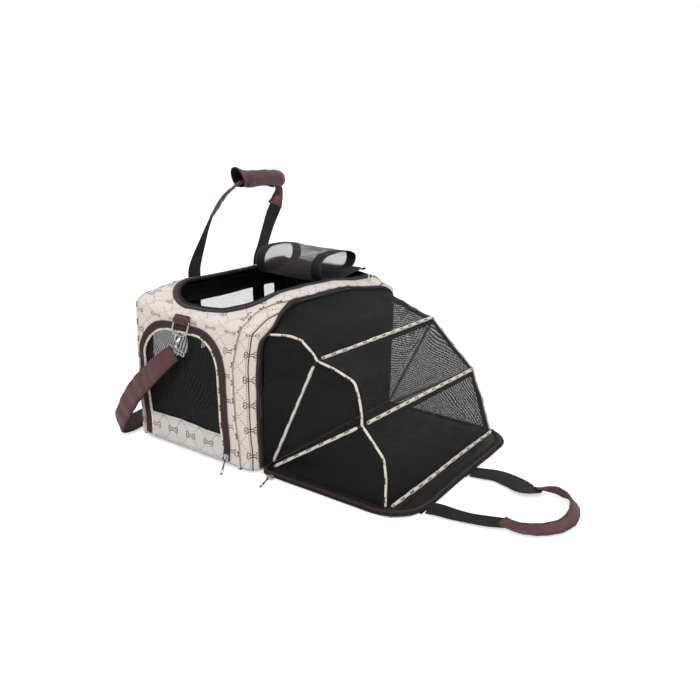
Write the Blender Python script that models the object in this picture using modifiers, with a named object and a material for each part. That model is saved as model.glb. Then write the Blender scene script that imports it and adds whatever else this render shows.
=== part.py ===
"""Soft pet carrier bag with an expansion tent at its front, unfolded.

Metres. +X runs along the bag, +Y points to its back panel and +Z up. The origin is the middle
of the cabin's footprint, on the ground. The tent opens to -Y, and the end door faces -X.
"""

import math

import bmesh
import bpy
from mathutils import Matrix, Vector

# ---------------------------------------------------------------- driving dimensions
LENGTH = 0.450
WIDTH = 0.300
HEIGHT = 0.300
WALL = 0.003
GAP = 0.0003
SMOOTH_ANGLE = math.radians(35)
SIDE_EDGE_R = 0.036
TOP_EDGE_R = 0.034
FOOT_EDGE_R = 0.010

HALF_L = LENGTH / 2
HALF_W = WIDTH / 2

# openings in the tub, each with its rounded corners
SIDE_OPEN_HALF = 0.205
SIDE_OPEN_LOW, SIDE_OPEN_TOP, SIDE_OPEN_R = 0.0115, 0.286, 0.065
DOOR_Y, DOOR_HALF, DOOR_LOW, DOOR_TOP, DOOR_R = 0.020, 0.100, 0.012, 0.232, 0.068
DOOR_LAP = 0.006
DOOR_STRIP_TOP = 0.057
WINDOW_LOW, WINDOW_TOP, WINDOW_R = 0.130, 0.240, 0.012
BACK_WINDOW_HALF = 0.182
END_WINDOW_Y = (-0.085, 0.108)
WINDOW_LAP = 0.0055
TOP_OPEN_X = (-0.190, 0.176)
TOP_OPEN_Y = (-0.104, 0.114)
TOP_OPEN_R = 0.085

# zipper tapes
TAPE = 0.009
TAPE_T = 0.0020
CLOTH_T = 0.0012

# tent: the bows turn about one axis along X, in front of the side opening
PIVOT_Y, PIVOT_Z = -0.155, 0.007
BOW_R = 0.0018
BOW_REACH = 0.2255
INNER_BOW_HALF, INNER_BOW_ANGLE = 0.1935, 63.3
MIDDLE_BOW_HALF, MIDDLE_BOW_ANGLE = 0.1985, 30.5
BOW_CORNER_R, BOW_FOOT_R = 0.016, 0.0030
BOW_STUB = 0.0080
ROD_REACH, ROD_HALF, ROD_R = 0.245, 0.189, 0.0025
TENT_INSET = 0.0045
TENT_HALF = 0.1825
TENT_T = 0.0008

# side panel, flat on the ground
PANEL_HALF, PANEL_NEAR, PANEL_REACH, PANEL_R = 0.2125, 0.007, 0.282, 0.070
PANEL_Z = (0.0018, 0.0048)
PANEL_TAPE_Z = (0.0052, 0.0090)
WEB_W, WEB_T = 0.038, 0.0016
PANEL_WEB_X = (-0.144, 0.016)
SIDE_HANDLE_Z = 0.0042

SIDE_GRIP_W, SIDE_GRIP_T = 0.026, 0.0032

# back handle: legs from the back panel, a leather core, and the wrap round its top
BACK_WEB_X = (-0.068, 0.128)
BACK_WEB_LOW, BACK_WEB_TOP = 0.012, 0.266
HANDLE_LEG_X = (-0.062, 0.132)
HANDLE_LEG_W = 0.033
HANDLE_Y, HANDLE_Z = HALF_W + 0.0028, 0.272
HANDLE_PLANE = HALF_W + 0.0060
CORE_W, CORE_T = 0.020, 0.0030
WRAP_R, WRAP_T = 0.020, 0.0020
WRAP_NEAR, WRAP_FAR = (0.076, 0.4630), (0.196, 0.4665)

# stiffening inside the tub: the base board, the mat over it, and two hoops
BASE_X, BASE_Y, BASE_R = 0.204, (-0.121, 0.131), 0.020
BASE_Z = (WALL + 0.0004, WALL + 0.0030)
MAT_INSET, MAT_Z = 0.001, (WALL + 0.0034, WALL + 0.0120)
WIRE_R, WIRE_LOW = 0.0014, 0.0058
WIRE_FOOT_R, WIRE_TOP_R = 0.012, 0.045
FRONT_WIRE = (-0.125, 0.215, 0.2925)
BACK_WIRE = (0.135, 0.2105, 0.2870)

# end fittings: tab, D-ring tilted outward, and the snap hook that leans back with the strap
RING_OFF, RING_TILT = 0.0050, 20.0
RING_R, RING_HALF, RING_DROP = 0.0015, 0.018, 0.024
RING_Y, RING_Z = 0.013, 0.2465
HOOK_LEAN = 15.0
HOOK_R, HOOK_EYE = 0.0016, 0.0065
GATE_R = 0.0011
STRAP_W, STRAP_T = 0.036, 0.0032
LOOP_R = 0.0014
TAB_HALF, TAB_LOW, TAB_TOP = 0.0130, 0.0030, 0.0105

# zipper sliders: where each stands along its tape
SLIDER_LONG, SLIDER_WIDE = 0.0120, 0.0084
SIDE_SLIDER_Y, DOOR_SLIDER_Z, TOP_SLIDER_X = -0.1750, 0.0200, 0.1500
PULL_W, PULL_T = 0.0050, 0.0010

# top flap, rolled: lengths of its stretches and the turn between each two
FLAP_Z = HEIGHT + 0.0041
FLAP_HINGE_X = 0.182
FLAP_Y = (-0.1055, 0.1155)
FLAP_STRETCHES = (0.125, 0.022, 0.022, 0.105, 0.0155, 0.0155, 0.075)
FLAP_TURN = 60.0
FLAP_SLIT = 0.0008

# ---------------------------------------------------------------- scene and materials


def clear_scene():
    for thing in list(bpy.data.objects):
        bpy.data.objects.remove(thing)


def new_collection(name):
    group = bpy.data.collections.new(name)
    bpy.context.scene.collection.children.link(group)
    return group


def material(name, colour, roughness, metallic=0.0):
    made = bpy.data.materials.new(name)
    made.use_nodes = True
    shader = made.node_tree.nodes["Principled BSDF"]
    shader.inputs["Base Color"].default_value = (*colour, 1.0)
    shader.inputs["Roughness"].default_value = roughness
    shader.inputs["Metallic"].default_value = metallic
    return made


clear_scene()
PARTS = new_collection("pet_carrier_bag")
HELPERS = new_collection("cutters")

PRINT = ("print_cloth", (0.78, 0.71, 0.64), 0.6)
TAPE_BROWN = ("zip_tape", (0.075, 0.035, 0.03), 0.55)
MESH = ("black_mesh", (0.03, 0.03, 0.03), 0.8)
WEBBING = ("webbing", (0.015, 0.015, 0.016), 0.75)
LEATHER = ("leather", (0.13, 0.045, 0.04), 0.42)
SLEEVE = ("rod_sleeve", (0.80, 0.76, 0.70), 0.6)
STEEL = ("spring_steel", (0.45, 0.45, 0.46), 0.35, 1.0)
NICKEL = ("nickel", (0.75, 0.74, 0.72), 0.2, 1.0)
BOARD = ("board", (0.05, 0.045, 0.04), 0.7)
FLEECE = ("fleece", (0.10, 0.095, 0.09), 0.9)
PLASTIC = ("plastic", (0.03, 0.03, 0.03), 0.45)


def dress(thing, look):
    """Gives an object its own material, and smooth shading on its round faces."""
    thing.data.materials.append(material(f"{thing.name}_{look[0]}", *look[1:]))
    if thing.type == "MESH":
        thing.data.shade_smooth()
        thing.data.set_sharp_from_angle(angle=SMOOTH_ANGLE)
    return thing


def place(name, data, group=PARTS):
    thing = bpy.data.objects.new(name, data)
    group.objects.link(thing)
    return thing


def pivot(name, where, parent=None):
    """An empty on a joint's axis. Its children turn or slide with it."""
    empty = place(name, None, HELPERS)
    empty.hide_render = True
    empty.empty_display_size = 0.01
    empty.matrix_world = Matrix.Translation(where)
    if parent is not None:
        hang([empty], parent)
    return empty


def hang(things, empty):
    bpy.context.view_layer.update()
    for thing in things:
        world = thing.matrix_world.copy()
        thing.parent = empty
        thing.matrix_parent_inverse = empty.matrix_world.inverted()
        thing.matrix_world = world


def as_mesh(thing):
    """The mesh that a curve object makes, with its caps welded on."""
    bpy.context.view_layer.update()
    name, world = thing.name, thing.matrix_world.copy()
    data = bpy.data.meshes.new_from_object(thing.evaluated_get(bpy.context.evaluated_depsgraph_get()))
    shape = bmesh.new()
    shape.from_mesh(data)
    bmesh.ops.remove_doubles(shape, verts=shape.verts, dist=0.00001)
    shape.to_mesh(data)
    shape.free()
    bpy.data.objects.remove(thing)
    solid = place(name, data)
    solid.matrix_world = world
    return solid


def cutter(thing):
    """Moves an object to the helpers, as a mesh, and hides it from the build."""
    if thing.type == "CURVE":
        thing = as_mesh(thing)
    PARTS.objects.unlink(thing)
    HELPERS.objects.link(thing)
    thing.hide_render = True
    thing.display_type = "WIRE"
    return thing


def cut(thing, *tools):
    for tool in tools:
        boolean = thing.modifiers.new(tool.name, "BOOLEAN")
        boolean.operation = "DIFFERENCE"
        boolean.solver = "EXACT"
        boolean.object = tool


# ---------------------------------------------------------------- plain shapes


def block(name, low, high, look, edge=0.0):
    """A box between two corners, with bevelled edges."""
    low, high = Vector(low), Vector(high)
    shape = bmesh.new()
    bmesh.ops.create_cube(shape, size=1.0)
    size = high - low
    bmesh.ops.scale(shape, vec=size, verts=shape.verts)
    data = bpy.data.meshes.new(name)
    shape.to_mesh(data)
    shape.free()
    thing = place(name, data)
    thing.location = (low + high) / 2
    if edge:
        bevel = thing.modifiers.new("edges", "BEVEL")
        bevel.width = edge
        bevel.segments = 2
    return dress(thing, look)


def cylinder(name, centre, axis, radius, depth, look, sides=16):
    shape = bmesh.new()
    bmesh.ops.create_cone(shape, cap_ends=True, segments=sides, radius1=radius, radius2=radius, depth=depth)
    data = bpy.data.meshes.new(name)
    shape.to_mesh(data)
    shape.free()
    thing = place(name, data)
    thing.location = centre
    thing.rotation_mode = "QUATERNION"
    thing.rotation_quaternion = Vector(axis).to_track_quat("Z", "Y")
    return dress(thing, look)


PLANES = {
    "XY": (Vector((1, 0, 0)), Vector((0, 1, 0)), 2),
    "XZ": (Vector((1, 0, 0)), Vector((0, 0, 1)), 1),
    "YZ": (Vector((0, 1, 0)), Vector((0, 0, 1)), 0),
}


def plate(name, outlines, span, plane, look):
    """A flat sheet in a plane, between two heights over it. A second outline is a hole."""
    across, up, normal = PLANES[plane]
    data = bpy.data.curves.new(name, "CURVE")
    data.dimensions = "2D"
    data.fill_mode = "BOTH"
    data.extrude = (span[1] - span[0]) / 2
    for outline in outlines:
        spline = data.splines.new("POLY")
        spline.points.add(len(outline) - 1)
        for point, (u, v) in zip(spline.points, outline):
            point.co = (u, v, 0, 1)
        spline.use_cyclic_u = True
    thing = place(name, data)
    turn = Matrix((across, up, across.cross(up))).transposed().to_4x4()
    where = Vector((0, 0, 0))
    where[normal] = (span[0] + span[1]) / 2
    thing.matrix_world = Matrix.Translation(where) @ turn
    return dress(thing, look)


def arc(centre, radius, start, end, steps):
    """Points on a circle between two angles in degrees."""
    turns = (math.radians(start + (end - start) * i / steps) for i in range(steps + 1))
    return [(centre[0] + radius * math.cos(a), centre[1] + radius * math.sin(a)) for a in turns]


def arch(middle, half, low, top, radius, steps=6):
    """An upright outline with round upper corners, from its lower left to its lower right."""
    left = arc((middle - half + radius, top - radius), radius, 180, 90, steps)
    right = arc((middle + half - radius, top - radius), radius, 90, 0, steps)
    return [(middle - half, low)] + left + right + [(middle + half, low)]


def rounded(low, high, radius, steps=3):
    """A rectangle with four round corners."""
    (u0, v0), (u1, v1) = low, high
    corners = ((u1, v1, 0), (u0, v1, 90), (u0, v0, 180), (u1, v0, 270))
    points = []
    for u, v, start in corners:
        centre = (u - radius if u == u1 else u + radius, v - radius if v == v1 else v + radius)
        points += arc(centre, radius, start, start + 90, steps)
    return points


def arch_band(middle, half, low, top, radius, width):
    """A band that follows an arch on its outer side, open at the foot."""
    inner = arch(middle, half, low, top, radius)
    outer = arch(middle, half + width, low, top + width, radius + width)
    return inner + outer[::-1]


def tube_path(points, radius, name, look, closed=False):
    """Round wire along a polyline."""
    data = bpy.data.curves.new(name, "CURVE")
    data.dimensions = "3D"
    data.bevel_depth = radius
    data.bevel_resolution = 1
    data.use_fill_caps = not closed
    spline = data.splines.new("POLY")
    spline.points.add(len(points) - 1)
    for point, where in zip(spline.points, points):
        point.co = (*where, 1)
    spline.use_cyclic_u = closed
    return dress(place(name, data), look)


def filleted(corners, radii, steps=4, closed=False):
    """A polyline whose corners are replaced by arcs: one radius for all, or one for each corner."""
    corners = [Vector(c) for c in corners]
    count = len(corners)
    points = [] if closed else [corners[0]]
    for i in range(count) if closed else range(1, count - 1):
        radius = radii[i] if isinstance(radii, tuple) else radii
        here = corners[i]
        back = (corners[i - 1] - here).normalized()
        ahead = (corners[(i + 1) % count] - here).normalized()
        half = back.angle(ahead) / 2
        middle = here + (back + ahead).normalized() * radius / math.sin(half)
        first = here + back * radius / math.tan(half)
        last = here + ahead * radius / math.tan(half)
        start, end = first - middle, last - middle
        sweep = start.angle(end)
        for k in range(steps + 1):
            share = k / steps
            mix = start * math.sin((1 - share) * sweep) + end * math.sin(share * sweep)
            points.append(middle + mix / math.sin(sweep))
    return points if closed else points + [corners[-1]]


def smooth(values, steps, knots=None):
    """Points on a smooth curve through values, which lie as far apart as the knots do."""
    values = [Vector(v) for v in values]
    knots = [Vector(k) for k in knots or values]
    spans = [(b - a).length for a, b in zip(knots, knots[1:])]
    slopes = [(b - a) / span for a, b, span in zip(values, values[1:], spans)]
    tangents = [slopes[0]]
    for i in range(1, len(slopes)):
        before, after = spans[i - 1], spans[i]
        tangents.append((slopes[i - 1] * after + slopes[i] * before) / (before + after))
    tangents.append(slopes[-1])
    points = []
    for i, span in enumerate(spans):
        for k in range(steps):
            t = k / steps
            bend = values[i] * (1 + 2 * t) * (1 - t) ** 2 + values[i + 1] * t * t * (3 - 2 * t)
            lean = tangents[i] * t * (1 - t) ** 2 - tangents[i + 1] * t * t * (1 - t)
            points.append(bend + lean * span)
    return points + [values[-1]]


def ribbon(name, knots, across, width, thickness, look, steps=4):
    """A flat strap along a curve. Across holds the width's direction at each knot."""
    path = smooth(knots, steps)
    sides = smooth(across, steps, knots)
    shape = bmesh.new()
    rows = []
    for i, (middle, side) in enumerate(zip(path, sides)):
        ahead = path[min(i + 1, len(path) - 1)] - path[max(i - 1, 0)]
        flat = (side - ahead * side.dot(ahead) / ahead.length_squared).normalized()
        rows.append([shape.verts.new(middle + flat * width * s / 2) for s in (-1, 1)])
    for (a, b), (c, d) in zip(rows, rows[1:]):
        shape.faces.new((a, b, d, c))
    data = bpy.data.meshes.new(name)
    shape.to_mesh(data)
    shape.free()
    thing = place(name, data)
    solid = thing.modifiers.new("thickness", "SOLIDIFY")
    solid.thickness = thickness
    solid.offset = 0
    return dress(thing, look)


# ---------------------------------------------------------------- cabin


def rounded_box(name):
    """The closed outer form of the cabin: a box with soft upright and upper edges."""
    shape = bmesh.new()
    bmesh.ops.create_cube(shape, size=1.0)
    bmesh.ops.scale(shape, vec=(LENGTH, WIDTH, HEIGHT), verts=shape.verts)
    bmesh.ops.translate(shape, vec=(0, 0, HEIGHT / 2), verts=shape.verts)

    def round_off(edges, radius, segments):
        bmesh.ops.bevel(shape, geom=edges, offset=radius, segments=segments, profile=0.5, affect="EDGES")

    def level(edge, z):
        return all(abs(v.co.z - z) < 1e-6 for v in edge.verts)

    upright = [e for e in shape.edges if abs(e.verts[0].co.z - e.verts[1].co.z) > HEIGHT / 2]
    round_off(upright, SIDE_EDGE_R, 5)
    round_off([e for e in shape.edges if level(e, HEIGHT) and len(e.link_faces) == 2], TOP_EDGE_R, 4)
    round_off([e for e in shape.edges if level(e, 0) and len(e.link_faces) == 2], FOOT_EDGE_R, 2)
    data = bpy.data.meshes.new(name)
    shape.to_mesh(data)
    shape.free()
    return place(name, data)


def cabin_shell():
    shell = dress(rounded_box("cabin_shell"), PRINT)
    solid = shell.modifiers.new("cloth_and_foam", "SOLIDIFY")
    solid.thickness = WALL
    solid.offset = -1
    reach = 0.03
    side = arch(0, SIDE_OPEN_HALF, SIDE_OPEN_LOW, SIDE_OPEN_TOP, SIDE_OPEN_R)
    door = arch(DOOR_Y, DOOR_HALF - DOOR_LAP, DOOR_LOW, DOOR_TOP - DOOR_LAP, DOOR_R - DOOR_LAP)
    back = rounded((-BACK_WINDOW_HALF, WINDOW_LOW), (BACK_WINDOW_HALF, WINDOW_TOP), WINDOW_R)
    end = rounded((END_WINDOW_Y[0], WINDOW_LOW), (END_WINDOW_Y[1], WINDOW_TOP), WINDOW_R)
    top = top_outline(0)
    cut(
        shell,
        cutter(plate("side_opening", [side], (-HALF_W - reach, -HALF_W + reach), "XZ", PRINT)),
        cutter(plate("door_opening", [door], (-HALF_L - reach, -HALF_L + reach), "YZ", PRINT)),
        cutter(plate("back_window", [back], (HALF_W - reach, HALF_W + reach), "XZ", PRINT)),
        cutter(plate("end_window", [end], (HALF_L - reach, HALF_L + reach), "YZ", PRINT)),
        cutter(plate("top_opening", [top], (HEIGHT - reach, HEIGHT + reach), "XY", PRINT)),
    )
    return shell


def top_outline(grow):
    """The top opening: square at the flap's seam and round towards the end door."""
    x0, x1 = TOP_OPEN_X[0] - grow, TOP_OPEN_X[1]
    y0, y1 = TOP_OPEN_Y[0] - grow, TOP_OPEN_Y[1] + grow
    radius = TOP_OPEN_R + grow
    upper = arc((x0 + radius, y1 - radius), radius, 90, 180, 6)
    lower = arc((x0 + radius, y0 + radius), radius, 180, 270, 6)
    return [(x1, y1)] + upper + lower + [(x1, y0)]


def window_meshes():
    """Mesh sheets behind the two windows, each with a lap under the cloth."""
    lap = WINDOW_LAP
    low, top = WINDOW_LOW - lap, WINDOW_TOP + lap
    near, far = END_WINDOW_Y
    back = rounded((-BACK_WINDOW_HALF - lap, low), (BACK_WINDOW_HALF + lap, top), WINDOW_R)
    end = rounded((near - lap, low), (far + lap, top), WINDOW_R)
    back_y = HALF_W - WALL - GAP
    end_x = HALF_L - WALL - GAP
    plate("back_window_mesh", [back], (back_y - 0.0010, back_y), "XZ", MESH)
    plate("end_window_mesh", [end], (end_x - 0.0010, end_x), "YZ", MESH)


def zip_tracks():
    """Tapes with the zipper teeth, sewn round the three openings of the cabin."""
    top = top_outline(0)
    plate(
        "top_zip_track",
        [top + top_outline(TAPE)[::-1]],
        (HEIGHT + GAP, HEIGHT + GAP + TAPE_T),
        "XY",
        TAPE_BROWN,
    )
    door = arch_band(DOOR_Y, DOOR_HALF + 0.001, DOOR_LOW, DOOR_TOP + 0.001, DOOR_R + 0.001, TAPE)
    plate("door_zip_track", [door], (-HALF_L - GAP - TAPE_T, -HALF_L - GAP), "YZ", TAPE_BROWN)
    side = arch_band(0, SIDE_OPEN_HALF + 0.001, 0.016, SIDE_OPEN_TOP + 0.001, SIDE_OPEN_R + 0.001, TAPE)
    plate("side_zip_track", [side], (-HALF_W - GAP - TAPE_T, -HALF_W - GAP), "XZ", TAPE_BROWN)


def frame_wires():
    """Spring-steel hoops that hold the tub open, one near the front and one near the back."""
    for name, (y, half, top) in (("front_frame_wire", FRONT_WIRE), ("back_frame_wire", BACK_WIRE)):
        corners = ((-half, y, WIRE_LOW), (half, y, WIRE_LOW), (half, y, top), (-half, y, top))
        bends = (WIRE_FOOT_R, WIRE_FOOT_R, WIRE_TOP_R, WIRE_TOP_R)
        tube_path(filleted(corners, bends, 4, closed=True), WIRE_R, name, STEEL, closed=True)


def floor_parts():
    near, far = BASE_Y
    base = rounded((-BASE_X, near), (BASE_X, far), BASE_R)
    plate("base_board", [base], BASE_Z, "XY", BOARD)
    inset = MAT_INSET
    mat = rounded((inset - BASE_X, near + inset), (BASE_X - inset, far - inset), BASE_R + inset)
    mat_pad = plate("floor_mat", [mat], MAT_Z, "XY", FLEECE)
    hang([mat_pad], pivot("floor_mat_lift", (0, 0, WALL)))


def back_webbings():
    for name, x in zip(("back_webbing_near", "back_webbing_far"), BACK_WEB_X):
        low = (x - WEB_W / 2, HALF_W + GAP, BACK_WEB_LOW)
        block(name, low, (x + WEB_W / 2, HALF_W + GAP + WEB_T, BACK_WEB_TOP), WEBBING)


# ---------------------------------------------------------------- tent and side panel


def on_fan(reach, angle):
    """A point in the tent's YZ section, by its distance from the pivot and its angle over -Y."""
    a = math.radians(angle)
    return PIVOT_Y - reach * math.cos(a), PIVOT_Z + reach * math.sin(a)


def bow(name, half, angle, stub):
    """A U-shaped wire whose ends are bent onto the pivot axis. Stub is +1 outward, -1 inward."""
    y, z = on_fan(BOW_REACH, angle)
    end = half + stub * BOW_STUB
    foot = (PIVOT_Y, PIVOT_Z)
    corners = [(-end, *foot), (-half, *foot), (-half, y, z), (half, y, z), (half, *foot), (end, *foot)]
    bends = (0, BOW_FOOT_R, BOW_CORNER_R, BOW_CORNER_R, BOW_FOOT_R, 0)
    return tube_path(filleted(corners, bends), BOW_R, name, SLEEVE)


def bow_anchor(name, side):
    """Holds the bent ends of both bows: a foot plate with two bored lugs."""
    inner = (INNER_BOW_HALF - BOW_STUB - 0.0002, INNER_BOW_HALF - BOW_R - 0.0010)
    outer = (MIDDLE_BOW_HALF + BOW_R + 0.0010, MIDDLE_BOW_HALF + BOW_STUB + 0.0002)
    front, back = PIVOT_Y - 0.0035, PIVOT_Y + 0.0038
    low, floor, top = GAP, 0.0022, PIVOT_Z + 0.0045
    xs = sorted((side * inner[0], side * outer[1]))
    gap = sorted((side * inner[1], side * outer[0]))
    reach = 0.01
    middle = (side * (INNER_BOW_HALF + MIDDLE_BOW_HALF) / 2, PIVOT_Y, PIVOT_Z)
    body = block(name, (xs[0], front, low), (xs[1], back, top), PLASTIC)
    low_slot, high_slot = (gap[0], front - reach, floor), (gap[1], back + reach, top + reach)
    slot = block(f"{name}_slot", low_slot, high_slot, PLASTIC)
    bore = cylinder(f"{name}_bore", middle, (1, 0, 0), BOW_R + 0.0004, 5 * reach, PLASTIC)
    cut(body, cutter(slot), cutter(bore))


def tent():
    """Mesh tent over the bows: two gores and a long roof, open to the cabin and to the panel."""
    roof = [
        (PIVOT_Y - 0.0012, SIDE_OPEN_TOP - 0.004),
        on_fan(BOW_REACH - TENT_INSET, INNER_BOW_ANGLE),
        on_fan(BOW_REACH - TENT_INSET, MIDDLE_BOW_ANGLE),
        (PIVOT_Y - ROD_REACH + TENT_INSET, PANEL_TAPE_Z[1] + 0.0010),
    ]
    foot = (PIVOT_Y - 0.0012, PANEL_TAPE_Z[1] + 0.0010)
    shape = bmesh.new()
    rims = [[shape.verts.new((x, y, z)) for y, z in roof] for x in (-TENT_HALF, TENT_HALF)]
    feet = [shape.verts.new((x, *foot)) for x in (-TENT_HALF, TENT_HALF)]
    for k in range(len(roof) - 1):
        shape.faces.new((rims[0][k], rims[0][k + 1], rims[1][k + 1], rims[1][k]))
        shape.faces.new((feet[0], rims[0][k + 1], rims[0][k]))
        shape.faces.new((feet[1], rims[1][k], rims[1][k + 1]))
    data = bpy.data.meshes.new("tent_mesh")
    shape.to_mesh(data)
    shape.free()
    thing = place("tent_mesh", data)
    solid = thing.modifiers.new("thickness", "SOLIDIFY")
    solid.thickness = TENT_T
    solid.offset = 0
    solid.use_even_offset = True
    dress(thing, MESH)


def side_panel_parts():
    far = PIVOT_Y - PANEL_REACH
    near = PIVOT_Y - PANEL_NEAR

    def u_shape(half, reach, radius):
        return [(x, -v) for x, v in arch(0, half, -near, -reach, radius)]

    board = u_shape(PANEL_HALF, far, PANEL_R)
    rim_outer = board
    rim_inner = u_shape(PANEL_HALF - TAPE, far + TAPE, PANEL_R - TAPE)
    rod_y, rod_z = PIVOT_Y - ROD_REACH, PANEL_TAPE_Z[0] + ROD_R
    made = [
        plate("side_panel_board", [board], PANEL_Z, "XY", PRINT),
        plate("side_panel_zip_track", [rim_inner + rim_outer[::-1]], PANEL_TAPE_Z, "XY", TAPE_BROWN),
        tube_path([(-ROD_HALF, rod_y, rod_z), (ROD_HALF, rod_y, rod_z)], ROD_R, "outer_rod", SLEEVE),
    ]
    for name, x in zip(("panel_webbing_near", "panel_webbing_far"), PANEL_WEB_X):
        low = (x - WEB_W / 2, far + 0.004, GAP)
        made.append(block(name, low, (x + WEB_W / 2, near - 0.010, PANEL_Z[0] - GAP), WEBBING))
    return made


def side_handle():
    """The handle of the side panel, spread on the ground beyond its rim."""
    z = SIDE_HANDLE_Z
    y0 = PIVOT_Y - PANEL_REACH - 0.001
    near_x, far_x = PANEL_WEB_X
    flat = (1, 0, 0)
    far_path = [(far_x, y0, z), (far_x, y0 - 0.010, z), (0.026, -0.488, z), (0.010, -0.535, 0.0085)]
    near_path = [(near_x, y0, z), (near_x, y0 - 0.010, z), (near_x, -0.480, z), (-0.128, -0.522, 0.0085)]
    far_path.append((0.016, -0.572, 0.0175))
    near_path.append((-0.121, -0.563, 0.0175))
    far_sides = [flat, flat, flat, (0.9, 0.3, 0.3), (0.5, 0.3, 0.8)]
    near_sides = [flat, flat, flat, (0.9, -0.1, 0.4), (0.4, -0.1, 0.9)]
    grip_path = [
        (0.0175, -0.5745, 0.018),
        (0.0175, -0.600, 0.0165),
        (-0.006, -0.626, 0.0155),
        (-0.052, -0.635, 0.0155),
        (-0.098, -0.618, 0.0155),
        (-0.118, -0.592, 0.0165),
        (-0.1215, -0.5655, 0.018),
    ]
    leans = (0.25, 0.2, 0.1, 0, -0.1, -0.2, -0.25)
    grip_sides = [(lean, 0.1, 1 - abs(lean) / 4) for lean in leans]
    return [
        ribbon("side_handle_webbing_far", far_path, far_sides, WEB_W, WEB_T, WEBBING),
        ribbon("side_handle_webbing_near", near_path, near_sides, WEB_W, WEB_T, WEBBING),
        ribbon("side_handle_grip", grip_path, grip_sides, SIDE_GRIP_W, SIDE_GRIP_T, LEATHER),
    ]


# ---------------------------------------------------------------- back handle


def back_handle():
    """Two webbing legs that narrow and turn as they rise, joined by the leather core."""
    y, foot_y, z = HANDLE_PLANE, HANDLE_Y, HANDLE_Z
    near_x, far_x = HANDLE_LEG_X
    flat, edgewise = (1, 0, 0), (0, 1, 0)
    near_path = [(near_x, foot_y, z), (near_x, foot_y, z + 0.008), (-0.047, y, 0.333), (-0.023, y, 0.375)]
    far_path = [(far_x, foot_y, z), (far_x, foot_y, z + 0.008), (0.148, y, 0.320), (0.170, y, 0.370)]
    near_path.append((-0.003, y, 0.4015))
    far_path.append((0.190, y, 0.404))
    near_sides = [flat, flat, (0.95, 0, -0.3), (0.85, 0.1, -0.5), (0.6, 0.4, -0.4)]
    far_sides = [flat, flat, (0.95, 0, -0.3), (0.9, 0.1, -0.4), (0.6, 0.4, -0.3)]
    core_path = [
        (-0.0005, y, 0.4045),
        (0.027, y, 0.433),
        (0.070, y, 0.457),
        (0.110, y, 0.465),
        (0.155, y, 0.468),
        (0.196, y, 0.464),
        (0.210, y, 0.440),
        (0.1925, y, 0.4080),
    ]
    core_sides = [(0.5, 0.6, -0.4), (0.3, 0.9, -0.2)] + [edgewise] * 4 + [(0.1, 0.9, 0), (0.5, 0.6, -0.3)]
    return [
        ribbon("back_handle_webbing_near", near_path, near_sides, HANDLE_LEG_W, WEB_T, WEBBING),
        ribbon("back_handle_webbing_far", far_path, far_sides, HANDLE_LEG_W, WEB_T, WEBBING),
        ribbon("back_handle_core", core_path, core_sides, CORE_W, CORE_T, LEATHER, steps=3),
    ]


WRAP_ENDS = [Vector((x, HANDLE_PLANE, z)) for x, z in (WRAP_NEAR, WRAP_FAR)]


def grip_wrap():
    """A leather sleeve round the handle's top, open along its underside."""
    start, end = WRAP_ENDS
    across = Vector((0, 1, 0))
    up = across.cross((start - end).normalized())
    shape = bmesh.new()
    around = 12
    turns = [math.radians(-150 + 300 * k / around) for k in range(around + 1)]
    rows = [
        [shape.verts.new(where + (across * math.sin(a) + up * math.cos(a)) * WRAP_R) for a in turns]
        for where in WRAP_ENDS
    ]
    for k in range(around):
        shape.faces.new((rows[0][k], rows[0][k + 1], rows[1][k + 1], rows[1][k]))
    data = bpy.data.meshes.new("grip_wrap")
    shape.to_mesh(data)
    shape.free()
    thing = place("grip_wrap", data)
    solid = thing.modifiers.new("thickness", "SOLIDIFY")
    solid.thickness = WRAP_T
    solid.offset = 0
    return dress(thing, LEATHER)


# ---------------------------------------------------------------- end door


def end_door():
    """Mesh skin with the printed strip at its foot and a binding round its rim."""
    x = -HALF_L - GAP
    skin = arch(DOOR_Y, DOOR_HALF, DOOR_LOW + 0.0006, DOOR_TOP, DOOR_R)
    left, right = DOOR_Y - DOOR_HALF + 0.001, DOOR_Y + DOOR_HALF - 0.001
    foot = DOOR_LOW + 0.001
    strip = [(left, foot), (right, foot), (right, DOOR_STRIP_TOP), (left, DOOR_STRIP_TOP)]
    face = x - CLOTH_T - GAP
    lap = DOOR_LAP
    half, low, top = DOOR_HALF - lap, DOOR_STRIP_TOP + 0.0006, DOOR_TOP - lap
    rim = arch_band(DOOR_Y, half, low, top, DOOR_R - lap, lap - 0.001)
    return [
        plate("door_mesh", [skin], (x - CLOTH_T, x), "YZ", MESH),
        plate("door_strip", [strip], (face - 0.0010, face), "YZ", PRINT),
        plate("door_binding", [rim], (face - 0.0010, face), "YZ", TAPE_BROWN),
    ]


# ---------------------------------------------------------------- top flap


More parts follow.
